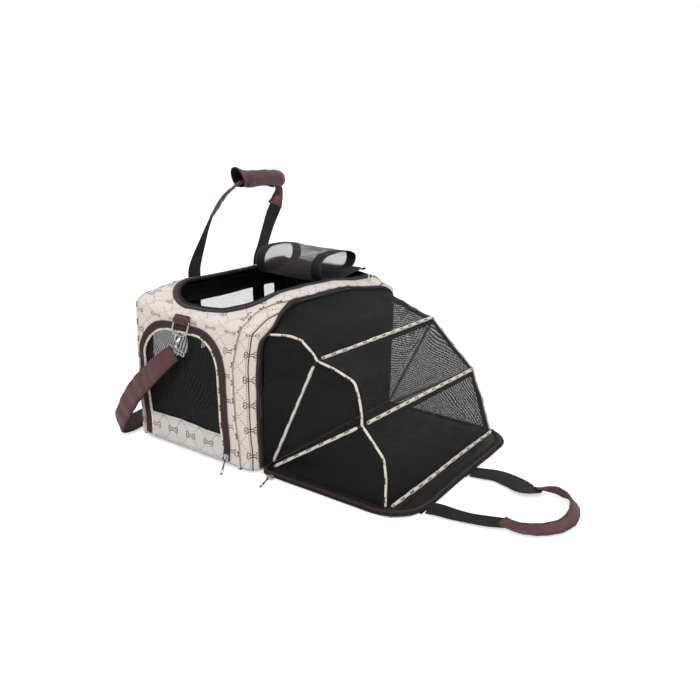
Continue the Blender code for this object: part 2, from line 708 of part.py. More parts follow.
def top_flap():
    """The mesh flap as stiff stretches, rolled up on the roof. Each turns on the one before."""
    where, turned, parent = Vector((FLAP_HINGE_X, 0, FLAP_Z)), 0.0, None
    for number, length in enumerate(FLAP_STRETCHES, 1):
        near, far = -FLAP_SLIT, -length + FLAP_SLIT
        if number < len(FLAP_STRETCHES):
            outline = [(near, FLAP_Y[0]), (near, FLAP_Y[1]), (far, FLAP_Y[1]), (far, FLAP_Y[0])]
        else:
            radius = length - 0.005
            upper = arc((far + radius, FLAP_Y[1] - radius), radius, 90, 180, 5)
            lower = arc((far + radius, FLAP_Y[0] + radius), radius, 180, 270, 5)
            outline = [(near, FLAP_Y[0]), (near, FLAP_Y[1])] + upper + lower
        stretch = plate(f"top_flap_{number}", [outline], (-CLOTH_T / 2, CLOTH_T / 2), "XY", MESH)
        turn = Matrix.Rotation(math.radians(turned), 4, "Y")
        stretch.matrix_world = Matrix.Translation(where) @ turn
        if number > 1:
            parent = pivot(f"top_flap_{number}_hinge", where, parent)
            hang([stretch], parent)
        where = where + turn.to_3x3() @ Vector((-length, 0, 0))
        turned += FLAP_TURN


# ---------------------------------------------------------------- zipper sliders


def slider(name, low, high, eye, tip, across, parent=None):
    """A slider body and the pull that hangs on it."""
    body = block(f"{name}_slider", low, high, NICKEL, 0.0006)
    slide = pivot(f"{name}_slide", (Vector(low) + Vector(high)) / 2, parent)
    hang([body], slide)
    pull = ribbon(f"{name}_pull", [eye, tip], [across, across], PULL_W, PULL_T, NICKEL, steps=1)
    hang([pull], pivot(f"{name}_pull_hinge", eye, slide))


# ---------------------------------------------------------------- strap and its fittings

RING_SHIFT = RING_DROP * math.sin(math.radians(RING_TILT))
RING_LOW = RING_Z - RING_DROP * math.cos(math.radians(RING_TILT))
STRAP_END = 0.0345


def hung(side, out, along, down):
    """A point in the hook's own frame: outward from the bag, along the D-ring, and down the hook."""
    lean = math.radians(HOOK_LEAN)
    return Vector(
        (
            side * (HALF_L + RING_OFF + RING_SHIFT + out),
            RING_Y + along * math.cos(lean) + down * math.sin(lean),
            RING_LOW + along * math.sin(lean) - down * math.cos(lean),
        )
    )


def end_fittings(tag, side):
    """Leather tab and D-ring at one end. Side is -1 or +1. Returns the pieces that the strap carries."""
    ring_x = side * (HALF_L + RING_OFF)
    tab_x = sorted((side * (HALF_L + GAP), ring_x + side * 0.0035))
    tab = block(
        f"strap_tab_{tag}",
        (tab_x[0], RING_Y - TAB_HALF, RING_Z - TAB_LOW),
        (tab_x[1], RING_Y + TAB_HALF, RING_Z + TAB_TOP),
        LEATHER,
    )
    bore = cylinder(f"tab_bore_{tag}", (ring_x, RING_Y, RING_Z), (0, 1, 0), RING_R + 0.0006, 0.05, LEATHER)
    cut(tab, cutter(bore))
    foot_x = ring_x + side * RING_SHIFT
    corners = [
        (ring_x, RING_Y - RING_HALF, RING_Z),
        (foot_x, RING_Y - RING_HALF, RING_LOW),
        (foot_x, RING_Y + RING_HALF, RING_LOW),
        (ring_x, RING_Y + RING_HALF, RING_Z),
    ]
    bends = (0.0030, 0.0110, 0.0110, 0.0030)
    ring = tube_path(filleted(corners, bends, 4, closed=True), RING_R, f"d_ring_{tag}", NICKEL, closed=True)
    hang([ring], pivot(f"d_ring_{tag}_hinge", (ring_x, RING_Y, RING_Z)))
    return hook_parts(tag, side)


def hook_parts(tag, side):
    """Snap hook, its sprung gate, the swivel barrel and the loop that the strap is sewn round."""
    middle = HOOK_EYE - HOOK_R - RING_R - 0.0004
    eye = [(u, middle - v) for u, v in arc((0, 0), HOOK_EYE, 235, -30, 10)]
    neck, shank = middle + HOOK_EYE + 0.0030, middle + HOOK_EYE + 0.0080
    line = [(0, shank), (0, neck)] + eye
    hook = tube_path([hung(side, u, 0, down) for u, down in line], HOOK_R, f"snap_hook_{tag}", NICKEL)
    tip_u, tip_down = eye[-1]
    gate_ends = ((tip_u - 0.0002, tip_down + 0.0022), (HOOK_R + GATE_R + 0.0004, neck + 0.0005))
    gate = tube_path([hung(side, u, 0, down) for u, down in gate_ends], GATE_R, f"hook_gate_{tag}", NICKEL)
    hang([gate], pivot(f"hook_gate_{tag}_hinge", hung(side, gate_ends[1][0], 0, gate_ends[1][1])))
    barrel = 0.0055
    swivel = cylinder(
        f"hook_swivel_{tag}",
        hung(side, 0, 0, shank + GAP + barrel / 2),
        hung(side, 0, 0, 0) - hung(side, 0, 0, 1),
        0.0034,
        barrel,
        NICKEL,
        12,
    )
    top = shank + barrel + 2 * GAP + LOOP_R
    half = STRAP_W / 2 + 0.0025
    foot = STRAP_END - LOOP_R - 0.0010
    frame = [hung(side, 0, w, d) for w, d in ((-half, top), (half, top), (half, foot), (-half, foot))]
    frame = filleted(frame, 0.0025, 3, closed=True)
    loop = tube_path(frame, LOOP_R, f"strap_loop_{tag}", NICKEL, closed=True)
    return [hook, swivel, loop]


def shoulder_strap():
    """From the near hook down the end panel, behind the bag on its edge, and up to the far hook."""
    half_path = [
        hung(1, 0, 0, STRAP_END),
        hung(1, 0, 0, STRAP_END + 0.005),
        hung(1, 0, 0, STRAP_END + 0.010),
        (0.2480, 0.064, 0.150),
        (0.2540, 0.101, 0.108),
        (0.2570, 0.140, 0.062),
        (0.2530, 0.170, 0.032),
        (0.2370, 0.188, 0.0205),
        (0.2050, 0.197, 0.0192),
        (0.1000, 0.204, 0.0190),
    ]
    half_across = [
        (0, 0.97, 0.26),
        (0, 0.97, 0.26),
        (0, 0.97, 0.26),
        (0, 0.78, 0.62),
        (0, 0.74, 0.67),
        (0, 0.70, 0.71),
        (0, 0.40, 0.92),
        (0, 0.10, 1.0),
        (0, 0, 1),
        (0, 0, 1),
    ]
    near = [Vector((-x, y, z)) for x, y, z in half_path]
    far = [Vector(p) for p in reversed(half_path)]
    across = half_across + [(0, 0, 1)] + half_across[::-1]
    path = near + [Vector((0, 0.206, 0.0190))] + far
    return ribbon("shoulder_strap", path, across, STRAP_W, STRAP_T, LEATHER)


# ---------------------------------------------------------------- build

cabin_shell()
window_meshes()
zip_tracks()
frame_wires()
floor_parts()
back_webbings()
bow_anchor("bow_anchor_near", -1)
bow_anchor("bow_anchor_far", 1)
tent()

fold_axis = (0, PIVOT_Y, PIVOT_Z)
inner_hinge = pivot("inner_bow_hinge", fold_axis)
middle_hinge = pivot("middle_bow_hinge", fold_axis, inner_hinge)
panel_hinge = pivot("side_panel_hinge", fold_axis, middle_hinge)
hang([bow("inner_bow", INNER_BOW_HALF, INNER_BOW_ANGLE, -1)], inner_hinge)
hang([bow("middle_bow", MIDDLE_BOW_HALF, MIDDLE_BOW_ANGLE, 1)], middle_hinge)
hang(side_panel_parts(), panel_hinge)
side_handle_axis = (0, PIVOT_Y - PANEL_REACH - 0.001, SIDE_HANDLE_Z)
hang(side_handle(), pivot("side_handle_hinge", side_handle_axis, panel_hinge))
rim_x = -PANEL_HALF - 0.0012
half_long, half_wide = SLIDER_LONG / 2, SLIDER_WIDE / 2
slider(
    "side",
    (rim_x - SLIDER_WIDE, SIDE_SLIDER_Y - half_long, 0.0025),
    (rim_x, SIDE_SLIDER_Y + half_long, 0.0085),
    (rim_x - SLIDER_WIDE - 0.0019, SIDE_SLIDER_Y, 0.0056),
    (rim_x - SLIDER_WIDE - 0.0299, SIDE_SLIDER_Y - 0.0080, 0.0024),
    (0.3, -1, 0),
    panel_hinge,
)

handle_hinge = pivot("back_handle_hinge", (0, HANDLE_Y, HANDLE_Z))
hang(back_handle(), handle_hinge)
hang([grip_wrap()], pivot("grip_wrap_hinge", WRAP_ENDS[0], handle_hinge))

hang(end_door(), pivot("end_door_hinge", (-HALF_L - GAP - CLOTH_T / 2, DOOR_Y, DOOR_LOW)))
door_tape_y = DOOR_Y - DOOR_HALF - 0.001 - TAPE / 2
slider(
    "door",
    (-HALF_L - 0.0062, door_tape_y - half_wide, DOOR_SLIDER_Z - half_long),
    (-HALF_L - 0.0027, door_tape_y + half_wide, DOOR_SLIDER_Z + half_long),
    (-HALF_L - 0.0084, door_tape_y, DOOR_SLIDER_Z - 0.0020),
    (-HALF_L - 0.0350, door_tape_y - 0.0180, DOOR_SLIDER_Z - 0.0160),
    (0.5, -1, 0),
)

top_flap()
top_slider_y = TOP_OPEN_Y[0] - TAPE / 2 - 0.0010
slider(
    "top",
    (TOP_SLIDER_X - half_long, top_slider_y - 0.0033, HEIGHT + 0.0027),
    (TOP_SLIDER_X + half_long, top_slider_y + 0.0033, HEIGHT + 0.0060),
    (TOP_SLIDER_X - half_long - 0.0008, top_slider_y, HEIGHT + 0.0046),
    (TOP_SLIDER_X - half_long - 0.0280, top_slider_y, HEIGHT + 0.0032),
    (0, 1, 0),
)

strap_pieces = end_fittings("near", -1) + end_fittings("far", 1) + [shoulder_strap()]
hang(strap_pieces, pivot("shoulder_strap_hinge", (0, RING_Y, RING_LOW)))
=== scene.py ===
"""Looks for a soft pet carrier bag with an expansion tent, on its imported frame.

Metres. +X runs along the bag, +Y points to its back panel, and the tent opens to -Y.
"""

import math

import bmesh
import bpy
import numpy as np
from mathutils import Matrix, Vector, noise


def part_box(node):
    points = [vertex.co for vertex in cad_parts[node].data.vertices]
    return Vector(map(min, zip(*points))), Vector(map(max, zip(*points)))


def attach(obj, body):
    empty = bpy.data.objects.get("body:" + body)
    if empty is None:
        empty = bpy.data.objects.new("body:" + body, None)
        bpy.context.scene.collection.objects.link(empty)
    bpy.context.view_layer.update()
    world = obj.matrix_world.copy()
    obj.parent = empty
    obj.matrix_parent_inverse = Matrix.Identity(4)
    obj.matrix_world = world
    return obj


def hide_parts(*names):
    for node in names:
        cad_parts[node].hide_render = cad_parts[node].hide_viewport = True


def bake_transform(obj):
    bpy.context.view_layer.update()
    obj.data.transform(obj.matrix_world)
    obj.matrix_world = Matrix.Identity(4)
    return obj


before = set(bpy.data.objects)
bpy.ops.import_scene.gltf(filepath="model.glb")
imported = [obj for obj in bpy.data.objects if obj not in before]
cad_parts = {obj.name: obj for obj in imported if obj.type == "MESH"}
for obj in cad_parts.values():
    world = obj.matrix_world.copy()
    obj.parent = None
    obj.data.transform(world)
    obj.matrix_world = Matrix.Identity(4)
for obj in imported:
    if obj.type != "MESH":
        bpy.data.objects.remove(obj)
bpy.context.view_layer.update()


def corners(node):
    low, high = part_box(node)
    return Vector(low), Vector(high)


# ---------------------------------------------------------------- sizes, from the CAD
SHELL = corners("cabin_shell")
HALF_L, HALF_W, HEIGHT = SHELL[1].x, SHELL[1].y, SHELL[1].z
TAPE = 0.009
SIDE_TRACK, DOOR_TRACK, TOP_TRACK = corners("side_zip_track"), corners("door_zip_track"), corners("top_zip_track")
SIDE_HALF, SIDE_LOW, SIDE_TOP, SIDE_ARCH = SIDE_TRACK[1].x - TAPE - 0.001, 0.0115, SIDE_TRACK[1].z - TAPE - 0.001, 0.065
DOOR_Y, DOOR_LOW, DOOR_ARCH = (DOOR_TRACK[0].y + DOOR_TRACK[1].y) / 2, 0.0125, 0.068
DOOR_HALF, DOOR_TOP = (DOOR_TRACK[1].y - DOOR_TRACK[0].y) / 2 - TAPE - 0.001, DOOR_TRACK[1].z - TAPE - 0.001
TOP_X, TOP_Y = (TOP_TRACK[0].x + TAPE, TOP_TRACK[1].x), (TOP_TRACK[0].y + TAPE, TOP_TRACK[1].y - TAPE)
TOP_ARCH = 0.085
LAP = 0.0055
BACK_WINDOW, END_WINDOW = corners("back_window_mesh"), corners("end_window_mesh")

# the soft outer form: radii of its upright, upper and lower edges, and the slump of the near top
SIDE_R, TOP_R, FOOT_R = 0.030, 0.031, 0.010
SLUMP, SLUMP_FOOT = 0.036, 0.235
FRONT, BACK, NEAR, FAR, TOP, FLOOR = (1, -1), (1, 1), (0, -1), (0, 1), (2, 1), (2, -1)


# ---------------------------------------------------------------- materials
class Value:
    """A number that varies over a surface: a node's socket with arithmetic."""

    def __init__(self, shader, socket):
        self.shader, self.socket = shader, socket

    def __add__(self, other):
        return self.shader.math("ADD", self, other)

    def __sub__(self, other):
        return self.shader.math("SUBTRACT", self, other)

    def __rsub__(self, other):
        return self.shader.math("SUBTRACT", other, self)

    def __mul__(self, other):
        return self.shader.math("MULTIPLY", self, other)

    def __lt__(self, other):
        return self.shader.math("LESS_THAN", self, other)

    def __gt__(self, other):
        return self.shader.math("GREATER_THAN", self, other)

    def fold(self, period):
        """Runs up and down between 0 and half a period."""
        return self.shader.math("PINGPONG", self, period / 2)

    def wave(self, period):
        return self.shader.math("SINE", self * (2 * math.pi / period), 0.0) * 0.5 + 0.5

    __radd__, __rmul__ = __add__, __mul__


class Shader:
    """A node material, built up from values over its surface."""

    def __init__(self, name):
        self.material = bpy.data.materials.new(name)
        self.material.use_nodes = True
        self.tree = self.material.node_tree
        self.out = self.tree.nodes["Principled BSDF"]
        self.uv = self.tree.nodes.new("ShaderNodeTexCoord").outputs

    def node(self, kind, inputs=(), **settings):
        made_node = self.tree.nodes.new(kind)
        for key, value in settings.items():
            setattr(made_node, key, value)
        for key, value in dict(inputs).items():
            self.feed(made_node.inputs[key], value)
        return made_node

    def feed(self, socket, value):
        value = value.socket if isinstance(value, Value) else value
        if isinstance(value, bpy.types.NodeSocket):
            self.tree.links.new(value, socket)
        else:
            socket.default_value = (*value, 1.0) if isinstance(value, tuple) and socket.type == "RGBA" else value

    def math(self, operation, a, b=0.0):
        return Value(self, self.node("ShaderNodeMath", {0: a, 1: b}, operation=operation).outputs[0])

    def axes(self, kind="UV"):
        split = self.node("ShaderNodeSeparateXYZ", {0: self.uv[kind]})
        return [Value(self, socket) for socket in split.outputs]

    def noise(self, scale, detail=3.0, stretch=None, kind="Object"):
        place = self.uv[kind]
        if stretch:
            place = self.node("ShaderNodeMapping", {"Vector": place, "Scale": stretch}).outputs[0]
        made_node = self.node("ShaderNodeTexNoise", {"Vector": place, "Scale": scale, "Detail": detail})
        return Value(self, made_node.outputs[0])

    def span(self, value, low, high, start=0.0, end=1.0):
        """Maps a value from one span to another, and stops at its ends."""
        inputs = {"Value": value, "From Min": low, "From Max": high, "To Min": start, "To Max": end}
        return Value(self, self.node("ShaderNodeMapRange", inputs).outputs[0])

    def mix(self, factor, first, second):
        made_node = self.node("ShaderNodeMix", data_type="RGBA")
        for place, value in ((0, factor), (6, first), (7, second)):
            self.feed(made_node.inputs[place], value)
        return made_node.outputs[2]

    def bump(self, height, distance, strength=1.0):
        before = self.out.inputs["Normal"].links
        inputs = {"Height": height, "Distance": distance, "Strength": strength}
        if before:
            inputs["Normal"] = before[0].from_socket
        self.feed(self.out.inputs["Normal"], self.node("ShaderNodeBump", inputs).outputs[0])

    def finish(self, **inputs):
        for key, value in inputs.items():
            self.feed(self.out.inputs[key.replace("_", " ")], value)
        return self.material


def weave(shader, pitch, depth, kind="UV"):
    """Crossing threads: the height of a plain weave."""
    u, v = shader.axes(kind)[:2]
    height = u.wave(pitch) * v.wave(2 * pitch) + v.wave(pitch) * u.wave(2 * pitch)
    shader.bump(height, depth)
    return height


INK = (0.135, 0.048, 0.018)


def print_look(name, cloth, rise=0.045, run=0.045, shift=(0.0, 0.0), scale=1.0):
    """Coated canvas with an outlined bone at each corner of a lattice, and crossing rows of dots between them."""
    shader = Shader(name)
    u, v = shader.axes()[:2]
    u, v = (u + shift[0]).fold(run), (v + shift[1]).fold(rise)

    def bone(a, b):
        """How far a point lies outside a bone's outline that is centred at zero."""
        shaft = shader.math("MAXIMUM", a - 0.0080 * scale, b - 0.0020 * scale)
        knob_a, knob_b = a - 0.0082 * scale, b - 0.0027 * scale
        knob = shader.math("SQRT", knob_a * knob_a + knob_b * knob_b) - 0.0028 * scale
        return shader.math("MINIMUM", shaft, knob)

    edge = shader.math("ABSOLUTE", bone(u, v))
    line = shader.span(edge, 0.00075, 0.00115, 1.0, 0.0)
    length = math.hypot(run, rise) / 2
    ahead = (u * run + v * rise) * (0.5 / length)
    beside = (u * rise - v * run) * (0.5 / length)
    step = (ahead - 0.0026).fold(0.0052)
    dot = shader.span(shader.math("SQRT", step * step + beside * beside), 0.00090, 0.00135, 1.0, 0.0)
    dot = dot * (ahead > 0.0125 * scale)
    ink = shader.math("MAXIMUM", line, dot * 0.95)
    shade = shader.mix(shader.noise(26.0, 4.0), tuple(c * 0.93 for c in cloth), tuple(min(1, c * 1.05) for c in cloth))
    rub = shader.span(shader.noise(60.0, 2.0), 0.30, 0.62, 0.72, 1.0)
    weave(shader, 0.0011, 0.00006)
    shader.bump(shader.noise(55.0, 5.0), 0.0009, 0.55)
    rough = shader.span(shader.noise(40.0), 0.3, 0.7, 0.46, 0.62)
    return shader.finish(Base_Color=shader.mix(ink * rub, shade, INK), Roughness=rough, Sheen_Weight=0.12)


def cloth_look(name, colour, rough, pitch=0.0009, depth=0.00010, slack=0.0, sheen=0.0, ribs=0.0, kind="UV", gloss=0.30):
    """Woven or knitted cloth. Slack adds fine creases, and ribs run along the strip."""
    shader = Shader(name)
    height = weave(shader, pitch, depth, kind)
    worn = shader.noise(70.0, 4.0)
    if ribs:
        across = shader.axes(kind)[1]
        shader.bump(across.wave(ribs), 0.0004, 0.8)
    if slack:
        shader.bump(shader.noise(34.0, 6.0), slack, 0.8)
    # The weave's height lightens the thread tops and darkens the hollows between them as painted shade; worn adds a
    # random tone.
    shade = shader.mix(worn * 0.6 + height * 0.3, tuple(c * 0.65 for c in colour), tuple(min(1, c * 1.45) for c in colour))
    return shader.finish(
        Base_Color=shade,
        Roughness=shader.span(worn, 0.3, 0.7, rough - 0.08, rough + 0.06),
        Sheen_Weight=sheen,
        Specular_IOR_Level=gloss,
    )


def mesh_look(name, colour, pitch, cover, rough=0.55, bands=0.0):
    """Open knitted mesh: threads round diamond holes. Cover is the share of thread. Bands are where threads bunch."""
    shader = Shader(name)
    u, v = shader.axes()[:2]
    one, two = (u + v).fold(pitch), (u - v).fold(pitch)
    gap = shader.math("MINIMUM", pitch / 2 - one, pitch / 2 - two)
    thread = shader.span(gap, pitch * cover * 0.24, pitch * cover * 0.40, 1.0, 0.0)
    if bands:
        drift = shader.noise(7.0, 1.0) * 0.060 + shader.noise(19.0, 1.0) * 0.012
        bunched = shader.span((u * 0.35 + v + drift).wave(bands), 0.40, 0.80, 0.0, 0.92)
        thread = shader.math("MAXIMUM", thread, bunched)
    shade = shader.mix(shader.noise(50.0), tuple(c * 0.7 for c in colour), tuple(c * 1.5 for c in colour))
    shader.bump(thread, 0.0003)
    return shader.finish(Base_Color=shade, Roughness=rough, Alpha=thread, Specular_IOR_Level=0.25)


def leather_look(name, colour, rough=0.36, crease=0.0008):
    shader = Shader(name)
    grain = shader.node("ShaderNodeTexVoronoi", {"Vector": shader.uv["Object"], "Scale": 620.0}, feature="DISTANCE_TO_EDGE")
    shader.bump(Value(shader, grain.outputs[0]), 0.00025, 0.5)
    folds = shader.noise(1.0, 5.0, (95.0, 22.0, 1.0), "UV")
    shader.bump(folds, crease, 0.7)
    worn = shader.noise(38.0, 4.0)
    # The folds also set the colour: lighter ridges and darker hollows are painted highlight and painted shade; worn
    # adds a random tone.
    shade = shader.mix(worn * 0.55 + folds * 0.45, tuple(c * 0.62 for c in colour), tuple(min(1, c * 1.5) for c in colour))
    return shader.finish(Base_Color=shade, Roughness=shader.span(folds, 0.3, 0.7, rough - 0.06, rough + 0.12))


def metal_look(name, colour, rough):
    shader = Shader(name)
    worn = shader.noise(90.0, 4.0)
    shader.bump(shader.noise(260.0, 2.0), 0.00006, 0.4)
    shade = shader.mix(worn, tuple(c * 0.82 for c in colour), tuple(min(1, c * 1.06) for c in colour))
    return shader.finish(Base_Color=shade, Metallic=1.0, Roughness=shader.span(worn, 0.3, 0.7, rough - 0.05, rough + 0.1))


def plastic_look(name, colour, rough):
    shader = Shader(name)
    shader.bump(shader.noise(420.0, 2.0), 0.00012, 0.5)
    worn = shader.noise(60.0)
    shade = shader.mix(worn, tuple(c * 0.8 for c in colour), tuple(c * 1.3 for c in colour))
    return shader.finish(Base_Color=shade, Roughness=shader.span(worn, 0.3, 0.7, rough - 0.06, rough + 0.08))


CREAM = (0.85, 0.765, 0.705)
CLOTH = print_look("print_cloth", CREAM, shift=(0.010, 0.012))
# the end door's print: the cabin's canvas made greyer and darker, as painted shade on the end wall
DOOR_CLOTH_PAINTED_SHADE = print_look("door_print_painted_shade", (0.74, 0.72, 0.68), shift=(0.010, 0.0225))
SLEEVE = print_look("rod_sleeve", (0.84, 0.79, 0.73), 0.030, 0.030, scale=0.45)
PIPING = print_look("piping", (0.84, 0.77, 0.70), 0.030, 0.032, scale=0.40)
LINING = cloth_look("black_lining", (0.007, 0.007, 0.0075), 0.44, 0.0012, 0.00006, slack=0.0014, kind="Object", gloss=0.28)
PANEL_LINING = cloth_look("panel_lining", (0.009, 0.009, 0.0095), 0.40, 0.0012, 0.00006, slack=0.0024, gloss=0.30)
TAPE_CLOTH = cloth_look("zip_tape", (0.066, 0.034, 0.036), 0.55, 0.0013, 0.00014, ribs=0.0018)
BLACK_TAPE = cloth_look("black_tape", (0.009, 0.009, 0.0095), 0.62, 0.0013, 0.00014, ribs=0.0022)
WEBBING = cloth_look("webbing", (0.011, 0.011, 0.012), 0.60, 0.0021, 0.00030, ribs=0.0031)
THREAD = cloth_look("thread", (0.60, 0.52, 0.44), 0.6, 0.0006)
DARK_THREAD = cloth_look("dark_thread", (0.055, 0.034, 0.030), 0.6, 0.0006)
SEAM_SHADE = cloth_look("seam_shade", (0.30, 0.23, 0.19), 0.7, 0.0006)
COIL = plastic_look("zip_coil", (0.018, 0.012, 0.012), 0.42)
LEATHER = leather_look("leather", (0.104, 0.035, 0.037))
TAB_LEATHER = leather_look("tab_leather", (0.070, 0.017, 0.019))
# the strap's backing layer: its dark brown colour is painted shade on the strap's inner face
STRAP_BACK_PAINTED_SHADE = cloth_look("strap_backing_painted_shade", (0.040, 0.018, 0.016), 0.6, 0.0012)
LEATHER_BACK = cloth_look("leather_back", (0.020, 0.017, 0.017), 0.7, 0.0012)
TENT_MESH = mesh_look("tent_mesh", (0.008, 0.008, 0.009), 0.0019, 0.74)
GORE_MESH = mesh_look("gore_mesh", (0.012, 0.010, 0.012), 0.0019, 0.46, bands=0.0056)
DOOR_MESH = mesh_look("door_mesh", (0.008, 0.008, 0.009), 0.0019, 0.56, bands=0.0062)
FLAP_MESH = mesh_look("flap_mesh", (0.075, 0.064, 0.070), 0.0054, 0.34)
WINDOW_MESH = mesh_look("window_mesh", (0.012, 0.012, 0.012), 0.0021, 0.40)
DENSE_MESH = mesh_look("dense_mesh", (0.010, 0.010, 0.011), 0.0021, 0.90)
FLEECE = cloth_look("fleece", (0.012, 0.012, 0.012), 0.9, 0.0030, 0.0008, slack=0.002, sheen=0.12)
NICKEL = metal_look("nickel", (0.78, 0.77, 0.75), 0.20)
BLACK_STEEL = metal_look("black_steel", (0.07, 0.07, 0.072), 0.40)
PLASTIC = plastic_look("black_plastic", (0.028, 0.028, 0.029), 0.45)
BOARD = plastic_look("board", (0.045, 0.042, 0.038), 0.7)


# ---------------------------------------------------------------- the cabin's soft form
def smoothstep(values, start, end):
    t = np.clip((np.asarray(values, float) - start) / (end - start), 0, 1)
    return t * t * (3 - 2 * t)


def excess(points):
    """How far points lie into the rounded edges along each axis: 0 on the flats and 1 at most."""
    x, y, z = points.T
    ex = np.sign(x) * np.clip(np.abs(x) - (HALF_L - SIDE_R), 0, None) / SIDE_R
    ey = np.sign(y) * np.clip(np.abs(y) - (HALF_W - SIDE_R), 0, None) / SIDE_R
    ez = np.clip(z - (HEIGHT - TOP_R), 0, None) / TOP_R - np.clip(FOOT_R - z, 0, None) / FOOT_R
    return np.stack([ex, ey, ez], axis=1)


def ripple(points, scale, amount):
    """A smooth random shift of points, the same on each run."""
    return np.array([noise.noise_vector(Vector(p) * scale) for p in points]) * amount


def soften(points):
    """The slump of the top and the slack of the cloth, for anything sewn to the cabin."""
    points = np.array(points, float)
    x, y, z = points.T
    back_half = smoothstep(y, 0.04, 0.13)
    drop = SLUMP * smoothstep(-x, 0.11, 0.215) * (1 - 0.60 * back_half) + 0.016 * smoothstep(x, 0.17, 0.230)
    drop += 0.009 * smoothstep(x, 0.00, 0.13) * smoothstep(-y, 0.02, 0.13)
    drop += 0.010 * smoothstep(y, 0.02, 0.13) * (1 - smoothstep(x, 0.10, 0.165))
    drop += 0.012 * smoothstep(x, 0.02, 0.20) * smoothstep(-y, 0.09, 0.14) + 0.002
    rise = np.clip((z - SLUMP_FOOT) / (HEIGHT - SLUMP_FOOT), 0, 1.1) ** 1.15
    root = smoothstep(x, 0.15, 0.19) * smoothstep(z, 0.27, 0.30)
    tab = np.exp(-((y - 0.013) ** 2 + (z - 0.245) ** 2) / 0.035**2) * smoothstep(np.abs(x), 0.19, 0.21)
    held = smoothstep(z, 0.005, 0.060) * (1 - 0.8 * root) * (1 - 0.95 * tab)
    points += held[:, None] * (ripple(points, 9.0, 0.0034) + ripple(points + 7.0, 31.0, 0.0011))
    end = smoothstep(-x, 0.19, 0.22)
    points[:, 1] += end * 0.006 * smoothstep(-y, 0.02, 0.08) * smoothstep(z, 0.03, 0.12) * (1 - smoothstep(z, 0.18, 0.24))
    points[:, 1] -= end * 0.012 * smoothstep(y, 0.05, 0.10) * (1 - smoothstep(y, 0.120, 0.145)) * (1 - smoothstep(z, 0.02, 0.13))
    points[:, 2] -= drop * rise
    return points


RADII = np.array([SIDE_R, SIDE_R, TOP_R])
FLATS = np.array([HALF_L - SIDE_R, HALF_W - SIDE_R, HEIGHT - TOP_R])


def press(points, lift=0.0, soft=True):
    """Presses points near the surface onto the rounded form. Gives the points and the normals."""
    points = np.array(points, float)
    e = excess(points)
    e /= np.linalg.norm(e, axis=1)[:, None]
    low, high = np.array([-FLATS[0], -FLATS[1], FOOT_R]), FLATS
    reach = np.where(e < 0, np.array([SIDE_R, SIDE_R, FOOT_R]), RADII)
    normals = e / reach
    normals /= np.linalg.norm(normals, axis=1)[:, None]
    points = np.clip(points, low, high) + e * reach + normals * lift
    return (soften(points) if soft else points), normals


def skin(points, side, lift=0.0):
    """Drops points onto the rounded form along one side's axis, lifted off it along its normal."""
    points = np.array(points, float)
    axis, sign = side
    e = excess(points)
    e[:, axis] = 0
    rest = np.sqrt(np.clip(1 - (e**2).sum(axis=1), 0.0, 1))
    e[:, axis] = sign * rest
    points[:, axis] = sign * (FLATS[axis] + RADII[axis] * rest)
    normals = e / RADII
    normals /= np.linalg.norm(normals, axis=1)[:, None]
    return soften(points + normals * lift), normals


# ---------------------------------------------------------------- paths and meshes
def arc(centre, radius, start, end, steps=14):
    turns = np.radians(np.linspace(start, end, steps + 1))
    return np.stack([centre[0] + radius * np.cos(turns), centre[1] + radius * np.sin(turns)], axis=1)


def arch(middle, half, low, top, radius):
    """An upright outline with round upper corners, from its lower left to its lower right."""
    left = arc((middle - half + radius, top - radius), radius, 180, 90)
    right = arc((middle + half - radius, top - radius), radius, 90, 0)
    return np.vstack([[(middle - half, low)], left, right, [(middle + half, low)]])


def top_outline(grow):
    """The top opening: square at the flap's seam and round towards the end door."""
    x0, x1, y0, y1 = TOP_X[0] - grow, TOP_X[1], TOP_Y[0] - grow, TOP_Y[1] + grow
    radius = TOP_ARCH + grow
    upper, lower = arc((x0 + radius, y1 - radius), radius, 90, 180), arc((x0 + radius, y0 + radius), radius, 180, 270)
    return np.vstack([[(x1, y1)], upper, lower, [(x1, y0)]])


def rectangle(low, high, radius):
    (u0, v0), (u1, v1) = low, high
    r = radius
    spots = ((u1 - r, v1 - r, 0), (u0 + r, v1 - r, 90), (u0 + r, v0 + r, 180), (u1 - r, v0 + r, 270))
    return np.vstack([arc((u, v), r, start, start + 90, 6) for u, v, start in spots])


def spaced(path, step, closed=False):
    """The same path with evenly spaced points."""
    path = np.array(path, float)
    if closed:
        path = np.vstack([path, path[:1]])
    run = np.concatenate([[0], np.cumsum(np.linalg.norm(np.diff(path, axis=0), axis=1))])
    count = max(2, int(round(run[-1] / step)) + 1)
    at = np.linspace(0, run[-1], count)
    made = np.stack([np.interp(at, run, path[:, i]) for i in range(path.shape[1])], axis=1)
    return made[:-1] if closed else made


def flowing(knots, steps=10, *also):
    """A smooth curve through knots, with any other values that go with them."""
    knots = np.array(knots, float)
    spans = np.linalg.norm(np.diff(knots, axis=0), axis=1)

    def blend(values):
        values = np.array(values, float).reshape(len(knots), -1)
        slopes = np.diff(values, axis=0) / spans[:, None]
        inner = (slopes[:-1] * spans[1:, None] + slopes[1:] * spans[:-1, None]) / (spans[1:] + spans[:-1])[:, None]
        lean = np.vstack([slopes[:1], inner, slopes[-1:]])
        made = []
        for i, span in enumerate(spans):
            t = np.linspace(0, 1, steps, endpoint=False)[:, None]
            made.append(
                values[i] * (1 + 2 * t) * (1 - t) ** 2
                + values[i + 1] * t * t * (3 - 2 * t)
                + (lean[i] * t * (1 - t) ** 2 - lean[i + 1] * t * t * (1 - t)) * span
            )
        return np.vstack(made + [values[-1:]])

    return [blend(values) for values in (knots, *also)] if also else blend(knots)


